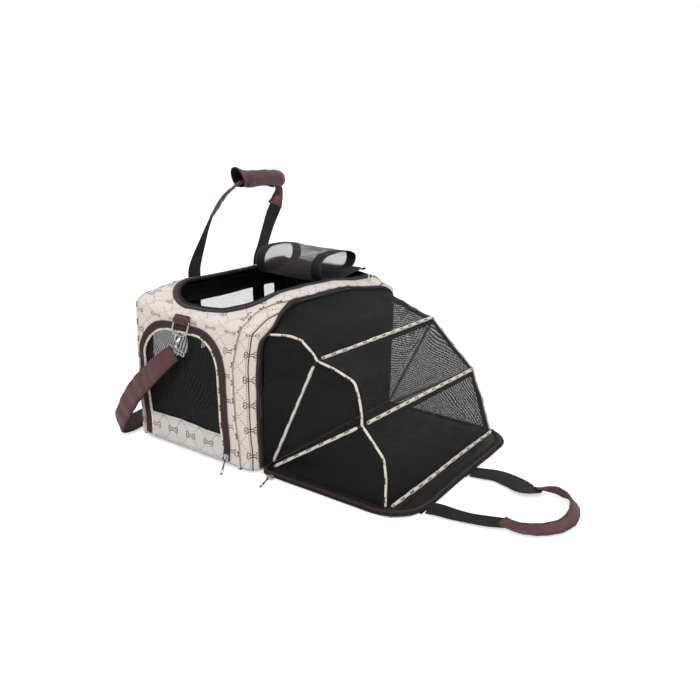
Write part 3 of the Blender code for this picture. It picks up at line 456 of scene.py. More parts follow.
def upright(outline, side, at=0.0):
    """An outline in a side's own plane as points in space."""
    axis = side[0]
    outline = np.array(outline, float)
    fixed = np.full(len(outline), at if at else (HALF_L, HALF_W, HEIGHT)[axis] * side[1])
    return np.insert(outline, axis, fixed, axis=1)


def made(name, points, faces, looks, body, slot, uvs=None, kinds=None, smooth=True):
    """A mesh object that rides on a body. Kinds holds the material's number for each face."""
    data = bpy.data.meshes.new(name)
    data.from_pydata([tuple(p) for p in np.asarray(points, float)], [], [tuple(int(i) for i in f) for f in faces])
    for look in looks:
        data.materials.append(look)
    if uvs is not None:
        layer = data.uv_layers.new(name="UVMap")
        spots = np.array([loop.vertex_index for loop in data.loops])
        layer.data.foreach_set("uv", np.asarray(uvs, np.float32)[spots].ravel())
    if kinds is not None:
        data.polygons.foreach_set("material_index", np.asarray(kinds, np.int32))
    data.polygons.foreach_set("use_smooth", np.full(len(data.polygons), smooth))
    data.update()
    thing = bpy.data.objects.new(name, data)
    bpy.context.scene.collection.objects.link(thing)
    if body:
        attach(thing, body)
    return thing


def grid_faces(rows, columns, round_rows=False, round_columns=False):
    i, j = np.meshgrid(np.arange(rows - (not round_rows)), np.arange(columns - (not round_columns)), indexing="ij")
    i, j = i.ravel(), j.ravel()
    n, m = (i + 1) % rows, (j + 1) % columns
    return np.stack([i * columns + j, n * columns + j, n * columns + m, i * columns + m], axis=1)


def sheet(name, rows, looks, body, slot, thickness=0.0, kinds=None, other_side=0, offset=0.0, round_columns=False):
    """Cloth through a grid of points, with its lengths as UVs. Kinds is for each face of the grid."""
    rows = np.array(rows, float)
    count, width = rows.shape[:2]
    along = np.concatenate([[0], np.cumsum(np.linalg.norm(np.diff(rows, axis=0), axis=2).mean(axis=1))])
    across = np.concatenate([[0], np.cumsum(np.linalg.norm(np.diff(rows, axis=1), axis=2).mean(axis=0))])
    uvs = np.stack(np.meshgrid(along, across, indexing="ij"), axis=2).reshape(-1, 2)
    faces = grid_faces(count, width, round_columns=round_columns)
    thing = made(name, rows.reshape(-1, 3), faces, looks, body, slot, uvs, None if kinds is None else np.ravel(kinds))
    if thickness:
        solid = thing.modifiers.new("thickness", "SOLIDIFY")
        solid.thickness, solid.offset, solid.material_offset = thickness, offset, other_side
    return thing


def carried(path, start, closed=False):
    """Directions across a path, carried along it without twist."""
    steps = np.roll(path, -1, axis=0) - path
    if not closed:
        steps[-1] = steps[-2]
    tangents = steps / np.linalg.norm(steps, axis=1)[:, None]
    side = np.array(start, float)
    out = []
    for tangent in tangents:
        side = side - tangent * side.dot(tangent)
        side /= np.linalg.norm(side)
        out.append(side)
    return np.array(out)


def sweep(name, path, ups, section, look, body, slot, closed=False, sizes=None, smooth=True):
    """A closed section carried along a path. Section points are (across, up), up along the ups."""
    path, section = np.array(path, float), np.array(section, float)
    ups = np.broadcast_to(np.array(ups, float), path.shape).copy()
    tangents = np.roll(path, -1, axis=0) - np.roll(path, 1, axis=0)
    if not closed:
        tangents[0], tangents[-1] = path[1] - path[0], path[-1] - path[-2]
    tangents /= np.linalg.norm(tangents, axis=1)[:, None]
    across = np.cross(tangents, ups)
    across /= np.linalg.norm(across, axis=1)[:, None]
    ups = np.cross(across, tangents)
    sizes = np.ones((len(path), 2)) if sizes is None else np.array(sizes, float).reshape(len(path), -1) * np.ones((1, 2))
    rings = (
        path[:, None]
        + across[:, None] * (section[:, 0][None] * sizes[:, :1])[:, :, None]
        + ups[:, None] * (section[:, 1][None] * sizes[:, 1:])[:, :, None]
    )
    count, sides = rings.shape[:2]
    faces = [tuple(f) for f in grid_faces(count, sides, round_rows=closed, round_columns=True)]
    if not closed:
        faces += [tuple(range(sides)), tuple((count - 1) * sides + i for i in reversed(range(sides)))]
    run = np.concatenate([[0], np.cumsum(np.linalg.norm(np.diff(path, axis=0), axis=1))])
    girth = np.concatenate([[0], np.cumsum(np.linalg.norm(np.diff(section, axis=0), axis=1))])
    uvs = np.stack(np.meshgrid(run, girth, indexing="ij"), axis=2).reshape(-1, 2)
    thing = made(name, rings.reshape(-1, 3), faces, [look], body, slot, uvs, smooth=smooth)
    shape = bmesh.new()
    shape.from_mesh(thing.data)
    bmesh.ops.recalc_face_normals(shape, faces=shape.faces)
    shape.to_mesh(thing.data)
    shape.free()
    if smooth:
        thing.data.set_sharp_from_angle(angle=math.radians(50))
    return thing


def circle(radius, sides=8):
    return arc((0, 0), radius, 0, 360, sides)[:-1]


def oval(width, height, sides=10):
    return circle(1, sides) * (width / 2, height / 2)


def band(width, height, crown=0.0):
    """The section of a woven or folded strip, with soft edges and a crowned upper face."""
    half, edge = width / 2, height / 2
    upper = [(x, edge + crown * (1 - (x / half) ** 2)) for x in np.linspace(-half + edge, half - edge, 7)]
    return np.array([(-half, 0)] + upper + [(half, 0)] + [(x, -edge) for x, _ in upper[::-1]])


def tube(name, path, radius, look, body, slot, closed=False, sizes=None, sides=8, start=(0.13, 0.29, 0.95)):
    path = np.array(path, float)
    ups = carried(path, start, closed)
    return sweep(name, path, ups, circle(radius, sides), look, body, slot, closed, sizes)


def joined(name, things):
    """Several meshes as one object, kept in the first one's place."""
    bpy.ops.object.select_all(action="DESELECT")
    for thing in things:
        thing.select_set(True)
    bpy.context.view_layer.objects.active = things[0]
    bpy.ops.object.join()
    things[0].name = things[0].data.name = name
    return things[0]


def crumple(thing, amount, scale, stretch=(1, 1, 1)):
    """Moves a mesh's points along their normals, by smooth noise."""
    stretch = Vector(stretch)
    normals = [v.normal.copy() for v in thing.data.vertices]
    for vertex, normal in zip(thing.data.vertices, normals):
        vertex.co += normal * noise.noise(vertex.co * stretch * scale) * amount
    return thing


def stitches(name, path, ups, look, body, slot, length=0.0028, gap=0.0018, radius=0.00042):
    """A row of short threads along a path, each one sunk in at its ends."""
    path = spaced(path, (length + gap) / 6)
    ups = np.broadcast_to(np.array(ups, float), (len(ups), 3)) if np.ndim(ups) > 1 else np.array([ups], float)
    ups = ups[np.linspace(0, len(ups) - 1, len(path)).round().astype(int)]
    points, faces = [], []
    for i in range(0, len(path) - 4, 6):
        ahead = path[i + 4] - path[i]
        ahead /= np.linalg.norm(ahead)
        up = ups[i]
        across = np.cross(ahead, up)
        start = len(points)
        for k, fat in ((0, 0.35), (1, 1.0), (3, 1.0), (4, 0.35)):
            for a, b in ((1, 0), (0, 1.2), (-1, 0), (0, -0.8)):
                points.append(path[i + k] + (across * a + up * b) * radius * fat)
        for k in range(3):
            for j in range(4):
                q, n = start + 4 * k + j, start + 4 * k + (j + 1) % 4
                faces.append((q, n, n + 4, q + 4))
        faces += [(start + 3, start + 2, start + 1, start), (start + 12, start + 13, start + 14, start + 15)]
    return made(name, points, faces, [look], body, slot, np.zeros((len(points), 2)), smooth=False)


def ribs(count, deep=0.74):
    """Sizes along a coil: full and thin in turn."""
    return np.where(np.arange(count) % 2 == 0, 1.0, deep)


# ---------------------------------------------------------------- cabin shell
def side_outline(grow):
    return arch(0, SIDE_HALF + grow, SIDE_LOW, SIDE_TOP + grow, SIDE_ARCH + grow)


def door_outline(grow):
    return arch(DOOR_Y, DOOR_HALF + grow, DOOR_LOW, DOOR_TOP + grow, DOOR_ARCH + grow)


def window_outline(window, grow):
    low, high = window
    flat = [i for i in range(3) if high[i] - low[i] > 0.01]
    return rectangle([low[i] + LAP - grow for i in flat], [high[i] - LAP + grow for i in flat], 0.012 + grow)


def prism(outline, side, reach=0.04):
    """A closed block through one wall of the cabin."""
    axis, sign = side
    wall = (HALF_L, HALF_W, HEIGHT)[axis] * sign
    count = len(outline)
    points = np.vstack([upright(outline, side, wall - reach), upright(outline, side, wall + reach)])
    faces = [tuple(range(count)), tuple(reversed(range(count, 2 * count)))]
    faces += [(i, count + i, count + (i + 1) % count, (i + 1) % count) for i in range(count)]
    block = made("cutter", points, faces, [CLOTH, LINING], None, "print_cloth", kinds=np.ones(len(faces)))
    shape = bmesh.new()
    shape.from_mesh(block.data)
    bmesh.ops.recalc_face_normals(shape, faces=shape.faces)
    shape.to_mesh(block.data)
    shape.free()
    return block


def girth(x, y):
    """Distance round the cabin's walls, from its back near corner, past the near end and the front."""
    flat_x, flat_y, quarter = FLATS[0], FLATS[1], SIDE_R * math.pi / 2
    out_x, out_y = np.abs(x) > flat_x, np.abs(y) > flat_y
    turn = SIDE_R * np.arctan2(np.abs(y) - flat_y, np.abs(x) - flat_x)
    near_end = 2 * flat_y
    front = near_end + quarter
    far_end = front + 2 * flat_x + quarter
    back = far_end + 2 * flat_y + quarter
    spans = [
        (out_x & out_y & (x < 0) & (y < 0), near_end + turn),
        (out_x & out_y & (x > 0) & (y < 0), front + 2 * flat_x + quarter - turn),
        (out_x & out_y & (x > 0) & (y > 0), far_end + 2 * flat_y + turn),
        (out_x & out_y & (x < 0) & (y > 0), -turn),
        (out_x & (x < 0), flat_y - y),
        (out_x & (x > 0), far_end + flat_y + y),
        (out_y & (y < 0), front + flat_x + x),
        (out_y & (y > 0), back + flat_x - x),
    ]
    return np.select([test for test, _ in spans], [value for _, value in spans], x)


def cabin_shell():
    """One soft sheet of printed canvas with its lining, cut for the openings and the windows."""
    shape = bmesh.new()
    bmesh.ops.create_cube(shape, size=1.0)
    bmesh.ops.scale(shape, vec=(2 * HALF_L, 2 * HALF_W, HEIGHT), verts=shape.verts)
    bmesh.ops.translate(shape, vec=(0, 0, HEIGHT / 2), verts=shape.verts)
    bmesh.ops.subdivide_edges(shape, edges=shape.edges, cuts=74, use_grid_fill=True)
    spots, _ = press([v.co for v in shape.verts], soft=False)
    for vertex, spot in zip(shape.verts, spots):
        vertex.co = spot
    data = bpy.data.meshes.new("form")
    shape.to_mesh(data)
    shape.free()
    data.materials.append(CLOTH)
    data.materials.append(LINING)
    form = bpy.data.objects.new("form", data)
    bpy.context.scene.collection.objects.link(form)
    cutters = [
        prism(side_outline(0), FRONT),
        prism(door_outline(-0.004), NEAR),
        prism(top_outline(0), TOP),
        prism(window_outline(BACK_WINDOW, 0), BACK),
        prism(window_outline(END_WINDOW, 0), FAR),
    ]
    for block in cutters:
        cut = form.modifiers.new("opening", "BOOLEAN")
        cut.operation, cut.solver, cut.object, cut.material_mode = "DIFFERENCE", "EXACT", block, "INDEX"
    bpy.context.view_layer.update()
    cut_form = bpy.data.meshes.new_from_object(form.evaluated_get(bpy.context.evaluated_depsgraph_get()))
    for block in cutters + [form]:
        bpy.data.objects.remove(block)
    shape = bmesh.new()
    shape.from_mesh(cut_form)
    bmesh.ops.delete(shape, geom=[f for f in shape.faces if f.material_index == 1], context="FACES")
    bmesh.ops.remove_doubles(shape, verts=shape.verts, dist=0.00002)
    layer = shape.loops.layers.uv.new("UVMap")
    for face in shape.faces:
        over = abs(face.normal.z) > 0.72
        face.material_index = int(face.normal.z < -0.72)
        face.smooth = True
        middle = girth(*(np.array([c]) for c in face.calc_center_median()[:2]))[0]
        for loop in face.loops:
            x, y, z = loop.vert.co
            along = girth(np.array([x]), np.array([y]))[0]
            loop[layer].uv = (x, y) if over else (along if abs(along - middle) < 0.05 else middle, z)
    spots = soften([v.co for v in shape.verts])
    for vertex, spot in zip(shape.verts, spots):
        vertex.co = spot
    shape.to_mesh(cut_form)
    shape.free()
    thing = bpy.data.objects.new("cabin_canvas", cut_form)
    bpy.context.scene.collection.objects.link(thing)
    solid = thing.modifiers.new("foam_and_lining", "SOLIDIFY")
    solid.thickness, solid.offset, solid.material_offset, solid.material_offset_rim = 0.0028, -1, 1, 1
    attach(thing, "cabin")
    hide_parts("cabin_shell")
    return thing


cabin_shell()


# ---------------------------------------------------------------- zipper tapes, seams and piping
def on_side(outline, side, lift, step=0.003):
    return skin(spaced(upright(outline, side), step), side, lift)


def zip_tape(name, outline, side, body, node=None, width=TAPE, inner=0.0):
    """Tape sewn round an opening: a crowned band, a raised outer cord, coil teeth, and two rows of stitching."""
    path, ups = on_side(outline(inner + width / 2), side, 0.0013)
    tape = sweep(name, path, ups, band(width + 0.0006, 0.0014, 0.0007), TAPE_CLOTH, body, "zip_tape")
    path, ups = on_side(outline(inner + width + 0.0002), side, 0.0014)
    cord = sweep(name, path, ups, oval(0.0021, 0.0021, 7), TAPE_CLOTH, body, "zip_tape")
    path, ups = on_side(outline(inner + width * 0.56), side, 0.0030, 0.0008)
    coil = sweep(name, path, ups, oval(0.0026, 0.0015, 6), COIL, body, "zip_tape", sizes=ribs(len(path)))
    rows = []
    for share in (0.20, 0.86):
        path, ups = on_side(outline(inner + width * share), side, 0.0024)
        rows.append(stitches(name, path, ups, DARK_THREAD, body, "zip_tape"))
    whole = joined(name, [tape, cord, coil, *rows])
    if node:
        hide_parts(node)
    return whole


def turned_edge(name, outline, side, body="cabin"):
    """The black lip of the lining, just inside an opening's tape."""
    path, ups = on_side(outline(-0.0016), side, -0.0016)
    return sweep(name, path, ups, oval(0.0044, 0.0060, 8), BLACK_TAPE, body, "webbing")


zip_tape("side_opening_tape", side_outline, FRONT, "cabin", "side_zip_track", 0.0052)
zip_tape("door_opening_tape", door_outline, NEAR, "cabin", "door_zip_track", inner=0.0008)
zip_tape("top_opening_tape", top_outline, TOP, "cabin", "top_zip_track")
turned_edge("side_opening_lip", side_outline, FRONT)
turned_edge("top_opening_lip", top_outline, TOP)


def both_ends(knots):
    """A path over the cabin's front frame, from its near half."""
    near = np.array(knots, float)
    return np.vstack([near, (near * (-1, 1, 1))[::-1]])


PIPING_PATH = both_ends(
    [(-0.225, -0.112, 0.004), (-0.225, -0.108, 0.060), (-0.225, -0.106, 0.130), (-0.225, -0.105, 0.200)]
    + [(-0.225, -0.110, 0.250), (-0.219, -0.114, 0.280), (-0.200, -0.110, 0.299), (-0.178, -0.107, 0.300)]
    + [(-0.156, -0.119, 0.300), (-0.128, -0.139, 0.297), (-0.090, -0.144, 0.296), (-0.020, -0.144, 0.297)]
)
SEAM_PATH = [(-0.219, -0.138, 0.004), (-0.219, -0.138, 0.120), (-0.219, -0.137, 0.235), (-0.216, -0.138, 0.270)]
SEAM_PATH += [(-0.204, -0.139, 0.290), (-0.184, -0.139, 0.297), (-0.160, -0.146, 0.292), (-0.136, -0.149, 0.288)]


def front_frame():
    """The piping round the tub's front edge, with a thin line of painted shadow along it, and the dark seams beside it.
    """
    path, ups = press(spaced(flowing(PIPING_PATH, 14), 0.003), 0.0016)
    sweep("front_piping", path, ups, oval(0.0052, 0.0048, 10), PIPING, "cabin", "print_cloth")
    # a thin brown tube along the piping: painted shadow where the piping meets the canvas
    beside = PIPING_PATH + (0, -0.0042, 0)
    path, ups = press(spaced(flowing(beside, 14), 0.003), 0.0006)
    sweep("front_piping_painted_shadow", path, ups, oval(0.0012, 0.0009, 6), SEAM_SHADE, "cabin", "print_cloth")
    for name, turn in (("near", 1), ("far", -1)):
        knots = np.array(SEAM_PATH) * (turn, 1, 1)
        path, ups = press(spaced(flowing(knots, 14), 0.003), 0.0005)
        sweep(f"front_seam_{name}", path, ups, oval(0.0019, 0.0013, 6), DARK_THREAD, "cabin", "print_cloth")
        path, ups = press(spaced(flowing(knots + (0, 0.0042, 0), 14), 0.003), 0.0006)
        stitches(f"front_seam_stitches_{name}", path, ups, DARK_THREAD, "cabin", "print_cloth")


front_frame()


def back_frame():
    """Piping round the back edge of the tub, which the end panels are sewn to."""
    knots = [(-0.219, 0.138, 0.004), (-0.219, 0.138, 0.150), (-0.219, 0.138, 0.255), (-0.207, 0.139, 0.290)]
    knots += [(-0.180, 0.139, 0.297), (-0.090, 0.139, 0.298)]
    path, ups = press(spaced(flowing(both_ends(knots), 14), 0.003), 0.0014)
    sweep("back_piping", path, ups, oval(0.0046, 0.0044, 10), PIPING, "cabin", "print_cloth")


back_frame()


# ---------------------------------------------------------------- windows
def window(name, box, side, node, look):
    """Open mesh behind a window, its black binding outside, and the lining's turned edge inside."""
    low, high = box
    flat = [i for i in range(3) if high[i] - low[i] > 0.01]
    u = np.linspace(low[flat[0]], high[flat[0]], 60)
    v = np.linspace(low[flat[1]], high[flat[1]], 24)
    spots = np.stack(np.meshgrid(u, v, indexing="ij"), axis=2).reshape(-1, 2)
    points, _ = skin(upright(spots, side), side, -0.0020)
    net = sheet(name, points.reshape(len(u), len(v), 3), [look], "cabin", "black_mesh")
    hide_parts(node)
    if look is DENSE_MESH:
        points, _ = skin(upright(spots, side), side, -0.0040)
        sheet(f"{name}_blind", points.reshape(len(u), len(v), 3), [LINING], "cabin", "black_mesh", 0.0008)
    outline = np.vstack([window_outline(box, 0.0030), window_outline(box, 0.0030)[:1]])
    path, ups = on_side(outline[:-1], side, 0.0006)
    sweep(f"{name}_binding", path, ups, band(0.0085, 0.0012, 0.0003), BLACK_TAPE, "cabin", "webbing", closed=True)
    path, ups = on_side(window_outline(box, 0.0020), side, -0.0036)
    sweep(f"{name}_edge", path, ups, oval(0.0100, 0.0014, 8), BLACK_TAPE, "cabin", "webbing", closed=True)
    path, ups = on_side(window_outline(box, 0.0060), side, 0.0014)
    stitches(f"{name}_stitches", path, ups, DARK_THREAD, "cabin", "webbing")


window("back_window_net", BACK_WINDOW, BACK, "back_window_mesh", WINDOW_MESH)
window("end_window_net", END_WINDOW, FAR, "end_window_mesh", DENSE_MESH)


# ---------------------------------------------------------------- webbing on the back
def back_webbing(tag):
    node = f"back_webbing_{tag}"
    low, high = corners(node)
    x = (low.x + high.x) / 2
    width = high.x - low.x
    path = [(x, HALF_W, z) for z in np.linspace(low.z, high.z + 0.008, 70)]
    path, ups = skin(path, BACK, 0.0014)
    strip = sweep(node + "_strip", path, ups, band(width, 0.0016, 0.0002), WEBBING, "cabin", "webbing")
    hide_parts(node)
    half = width / 2 - 0.004
    for k, (z0, z1) in enumerate(((0.016, 0.042), (high.z - 0.032, high.z - 0.004))):
        square = [(x - half, z0), (x + half, z0), (x + half, z1), (x - half, z1), (x - half, z0), (x + half, z1)]
        path, ups = on_side(np.array(square), BACK, 0.0030, 0.001)
        stitches(f"{node}_box_{k}", path, ups, DARK_THREAD, "cabin", "webbing")


back_webbing("near")
back_webbing("far")


# ---------------------------------------------------------------- end door
def door_sheet(lift, grow, z_low, z_top, rows=44, columns=40):
    """A grid over the arched door between two heights."""
    half, radius, top = DOOR_HALF + grow, DOOR_ARCH + grow, DOOR_TOP + grow
    spots = []
    for z in np.linspace(z_low, min(z_top, top - 0.0004), rows):
        into = max(0.0, z - (top - radius))
        reach = half - radius + math.sqrt(max(radius**2 - into**2, 0.0))
        spots += [(DOOR_Y + reach * u, z) for u in np.linspace(-1, 1, columns)]
    points, _ = skin(upright(np.array(spots), NEAR), NEAR, lift)
    return points.reshape(rows, columns, 3)


def end_door():
    """Mesh door in its printed arch: tape and piping round its rim, and a printed strip at its foot."""
    low, high = corners("door_strip")
    net = sheet("door_net", door_sheet(-0.0006, 0.001, DOOR_LOW + 0.001, 1.0), [DOOR_MESH], "end_door", "black_mesh")
    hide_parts("door_mesh")
    strip_rows = door_sheet(0.0010, -0.0055, low.z, high.z - 0.001, 16).transpose(1, 0, 2)
    # the strip's greyer, darker canvas is painted shade
    strip = sheet("door_strip_cloth", strip_rows, [DOOR_CLOTH_PAINTED_SHADE], "end_door", "print_cloth", 0.0016)
    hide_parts("door_strip")
    path, ups = on_side(door_outline(-0.0018), NEAR, 0.0016)
    tape = sweep("door_rim_tape", path, ups, band(0.0046, 0.0016, 0.0008), TAPE_CLOTH, "end_door", "zip_tape")
    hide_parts("door_binding")
    path, ups = on_side(door_outline(-0.0055), NEAR, 0.0022)
    sweep("door_rim_piping", path, ups, oval(0.0046, 0.0042, 10), PIPING, "end_door", "print_cloth")
    top_edge = [(DOOR_Y + u * (DOOR_HALF - 0.0055), high.z) for u in np.linspace(-1, 1, 60)]
    path, ups = on_side(top_edge, NEAR, 0.0018)
    sweep("door_strip_seam", path, ups, oval(0.0030, 0.0024, 8), DOOR_CLOTH_PAINTED_SHADE, "end_door", "print_cloth")
    path, ups = on_side(np.array(top_edge) - (0, 0.0035), NEAR, 0.0024)
    stitches("door_strip_stitches", path, ups, THREAD, "end_door", "print_cloth")


end_door()


# ---------------------------------------------------------------- tent
PIVOT = np.array([-0.155, 0.007])
FLOOR_ROD = corners("outer_rod")
LEG, ROOF = 22, 64


def fan(x, reach, angle):
    """A point by its place along the tent, its distance from the fold axis, and its angle over -Y."""
    a = math.radians(angle)
    return (x, PIVOT[0] - reach * math.cos(a), PIVOT[1] + reach * math.sin(a))


def bow_path(near, far, round_corner=0.016):
    """A bow's line: up its near leg, along, and down its far leg. Ends are (x, reach, angle, foot angle)."""
    corner_near, corner_far = np.array(fan(*near[:3])), np.array(fan(*far[:3]))
    foot_near = np.array(fan(near[0], 0.002, near[3]))
    foot_far = np.array(fan(far[0], 0.002, far[3]))
    along = (corner_far - corner_near) / np.linalg.norm(corner_far - corner_near)
    down_near = (foot_near - corner_near) / np.linalg.norm(foot_near - corner_near)
    down_far = (foot_far - corner_far) / np.linalg.norm(foot_far - corner_far)
    r = round_corner

    def turn(corner, first, second):
        t = np.linspace(0, 1, 9)[:, None]
        return (1 - t) ** 2 * (corner + first * r) + 2 * t * (1 - t) * corner + t * t * (corner + second * r)

    near_leg = np.linspace(foot_near, corner_near + down_near * r, 30)[:-1]
    middle = np.linspace(corner_near + along * r, corner_far - along * r, 60)[1:-1]
    far_leg = np.linspace(corner_far + down_far * r, foot_far, 30)[1:]
    return np.vstack([near_leg, turn(corner_near, down_near, along), middle, turn(corner_far, -along, down_far), far_leg])


INNER = bow_path((-0.1925, 0.2325, 66.4, 64.0), (0.1925, 0.2357, 64.9, 63.5))
MIDDLE = bow_path((-0.1975, 0.2252, 34.6, 31.0), (0.1975, 0.2297, 32.6, 30.8))


def station(path, near_x, far_x):
    """A line over the tent resampled so that its legs and its roof always have the same number of points."""
    run = np.concatenate([[0], np.cumsum(np.linalg.norm(np.diff(path, axis=0), axis=1))])
    first, last = run[np.argmax(path[:, 0] > near_x)], run[len(path) - 1 - np.argmax(path[::-1, 0] < far_x)]
    legs = np.linspace(0, first, LEG)[:-1], np.linspace(last, run[-1], LEG)[1:]
    at = np.concatenate([legs[0], np.linspace(first, last, ROOF), legs[1]])
    return np.stack([np.interp(at, run, path[:, i]) for i in range(3)], axis=1)


def cabin_station():
    """The line where the tent is sewn to the rim of the side opening."""
    outline = side_outline(-0.0040)
    outline[0, 1] = outline[-1, 1] = PIVOT[1] + 0.002
    path, _ = on_side(outline, FRONT, 0.0004)
    path[:, 1] = np.minimum(path[:, 1], -HALF_W + 0.002)
    return station(path, -0.192, 0.192)


def floor_station():
    foot, z = PIVOT[0] - 0.002, 0.0112
    corner_near, corner_far = (-0.1925, -0.3880, z), (0.1900, -0.3960, z)
    path = spaced(np.array([(-0.1935, foot, z), corner_near, corner_far, (0.1910, foot, z)]), 0.0005)
    return station(path, -0.1915, 0.1890)


STATIONS = [cabin_station(), station(INNER, -0.1885, 0.1885), station(MIDDLE, -0.1935, 0.1935), floor_station()]
# how far the slack of each panel stands out at the near end, and where it peaks
BULGES = [(0.0195, 0.64), (0.0355, 0.54), (0.0217, 0.42)]
STEPS = 26


def tent_rows(k, inset=0.0):
    """One panel of the tent between two bows, with its slack and its creases."""
    first, second = STATIONS[k], STATIONS[k + 1]
    count = len(first)
    amount, peak = BULGES[k]
    place = np.arange(count)
    leg_share = np.clip(np.minimum(place, count - 1 - place) / (LEG - 1), 0, 1)
    across = np.clip((place - LEG + 1) / (ROOF - 1), 0, 1)
    near_share = leg_share ** 1.5 * (1 - across) ** 1.5 + 0.10 * leg_share * across * (1 - across)
    rows = []
    for t in np.linspace(0, 1, STEPS):
        row = first * (1 - t) + second * t
        out = row[:, 1:] - PIVOT
        reach = np.linalg.norm(out, axis=1)[:, None]
        out = out / np.maximum(reach, 1e-6)
        kink = min(t / peak, (1 - t) / (1 - peak))
        kink = kink * (1.25 - 0.25 * kink)
        slack = amount * near_share * kink
        belly = -0.006 * (leg_share * 4 * t * (1 - t)) * np.sin(math.pi * across) if k < 3 else 0
        lines = np.array([noise.noise(Vector((x * 5.0 + 3.1 * k, t * 3.4 + x * 11.0, 0.7))) for x in row[:, 0]])
        folds = 0.0042 * lines * leg_share * math.sin(math.pi * t)
        row[:, 1:] += out * (slack + belly + folds - inset)[:, None]
        gore = np.where(place < LEG, -1.0, np.where(place >= LEG + ROOF - 1, 1.0, 0.0))
        depth = np.array([noise.noise(Vector((p[1] * 17 + p[2] * 6, p[2] * 21 - p[1] * 9, 2.0 * g))) for p, g in zip(row, gore)])
        waist = np.sin(math.pi * np.clip(leg_share, 0, 1)) ** 0.7 * math.sin(math.pi * t)
        row[:, 0] -= gore * (0.008 * waist + 0.0055 * depth * waist + inset)
        rows.append(row)
    return np.array(rows)


def fanned(thing):
    """Bakes a tent piece's transform into its points."""
    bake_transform(thing)
    return thing


def tent():
    for k in range(3):
        rows = tent_rows(k)
        far_gore = np.arange(rows.shape[1] - 1) >= LEG + ROOF - 2
        kinds = np.tile(far_gore.astype(int), (len(rows) - 1, 1))
        net = fanned(sheet(f"tent_panel_{k + 1}", rows, [TENT_MESH, GORE_MESH], "", "black_mesh", 0.0, kinds))
        if k == 0:
            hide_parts("tent_mesh")
        for tag, column, out in (("near", LEG - 1, -1), ("far", LEG + ROOF - 2, 1)):
            edge = rows[:, column] + (out * 0.0008, 0, 0)
            ups = np.array([(out, *((p[1:] - PIVOT) / np.linalg.norm(p[1:] - PIVOT))) for p in edge])
            edge, ups = flowing(edge, 3, ups)
            cord = sweep(f"tent_cord_{tag}_{k + 1}", edge, ups, oval(0.0042, 0.0042, 10), PIPING, "", "print_cloth")
            fanned(cord)
        inner = tent_rows(k, 0.0012)
        for tag, start, width in (("near", LEG - 1, 3), ("far", LEG + ROOF - 4, 3)):
            hem = inner[:, start : start + width + 1]
            fanned(sheet(f"tent_hem_{tag}_{k + 1}", hem, [BLACK_TAPE], "", "black_mesh", 0.0005))
        for tag, start in (("near_leg", LEG - 3), ("far_leg", LEG + ROOF - 2)):
            hem = inner[:, start : start + 2]
            fanned(sheet(f"tent_hem_{tag}_{k + 1}", hem, [BLACK_TAPE], "", "black_mesh", 0.0005))


tent()


def bow_sleeves(name, path, body, node):
    """A bow's black wire, and its three printed sleeves with a gap at each corner."""
    wire = tube(f"{name}_wire", path, 0.0018, BLACK_STEEL, body, "spring_steel")
    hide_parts(node)
    run = np.concatenate([[0], np.cumsum(np.linalg.norm(np.diff(path, axis=0), axis=1))])
    leg = run[np.argmax(np.abs(path[:, 0] - path[0, 0]) > 0.008)]
    spans = {
        "near_leg": (0.014, leg - 0.011, 0.0027),
        "roof": (leg + 0.006, run[-1] - leg - 0.006, 0.0031),
        "far_leg": (run[-1] - leg + 0.011, run[-1] - 0.014, 0.0027),
    }
    for tag, (start, end, radius) in spans.items():
        at = np.linspace(start, end, max(12, int((end - start) / 0.004)))
        line = np.stack([np.interp(at, run, path[:, i]) for i in range(3)], axis=1)
        taper = np.minimum(1, 0.62 + np.minimum(at - start, end - at) / 0.012)
        sleeve = tube(f"{name}_sleeve_{tag}", line, radius, SLEEVE, body, "rod_sleeve", sizes=taper, sides=12)
        crumple(sleeve, 0.0007, 60.0)


bow_sleeves("inner_bow", INNER, "inner_bow", "inner_bow")
bow_sleeves("middle_bow", MIDDLE, "middle_bow", "middle_bow")


def roof_hems():
    """The tent's black tape under each bow."""
    for name, k in (("inner_bow", 1), ("middle_bow", 2)):
        line = STATIONS[k][LEG - 1 : LEG + ROOF - 1]
        out = line[:, 1:] - PIVOT
        out /= np.linalg.norm(out, axis=1)[:, None]
        beside = np.stack([out[:, 1], -out[:, 0]], axis=1)
        rows = []
        for shift in (-0.0015, -0.0065, -0.0115):
            row = line.copy()
            row[:, 1:] += beside * shift - out * 0.0040
            rows.append(row)
        sheet(f"{name}_hem", np.array(rows), [BLACK_TAPE], name, "black_mesh", 0.0006)


roof_hems()


# ---------------------------------------------------------------- side panel
PANEL = corners("side_panel_board")
PANEL_TRACK = corners("side_panel_zip_track")
PANEL_HALF, PANEL_FAR, PANEL_NEAR, PANEL_R = PANEL[1].x, PANEL[0].y, PANEL[1].y, 0.070


def panel_outline(grow, near=None):
    """The panel's U-shaped rim on the ground, from its near end to its far end."""
    near = PANEL_NEAR if near is None else near
    outline = arch(0, PANEL_HALF + grow, -near, -PANEL_FAR + grow, PANEL_R + grow)
    return np.stack([outline[:, 0], -outline[:, 1]], axis=1)


def slack_z(points, amount=0.0016):
    """A gentle unevenness of cloth that lies on the ground."""
    return np.array([noise.noise(Vector((p[0] * 13, p[1] * 13, 4.0))) for p in points]) * amount


def panel_sheet(grow, near, rows=70, columns=84):
    half, far, radius = PANEL_HALF + grow, PANEL_FAR - grow, PANEL_R + grow
    spots = []
    for y in np.linspace(near, far + 0.0005, rows):
        into = max(0.0, far + radius - y)
        reach = half - radius + math.sqrt(max(radius**2 - into**2, 0.0))
        spots += [(reach * u, y) for u in np.linspace(-1, 1, columns)]
    return np.array(spots).reshape(rows, columns, 2)


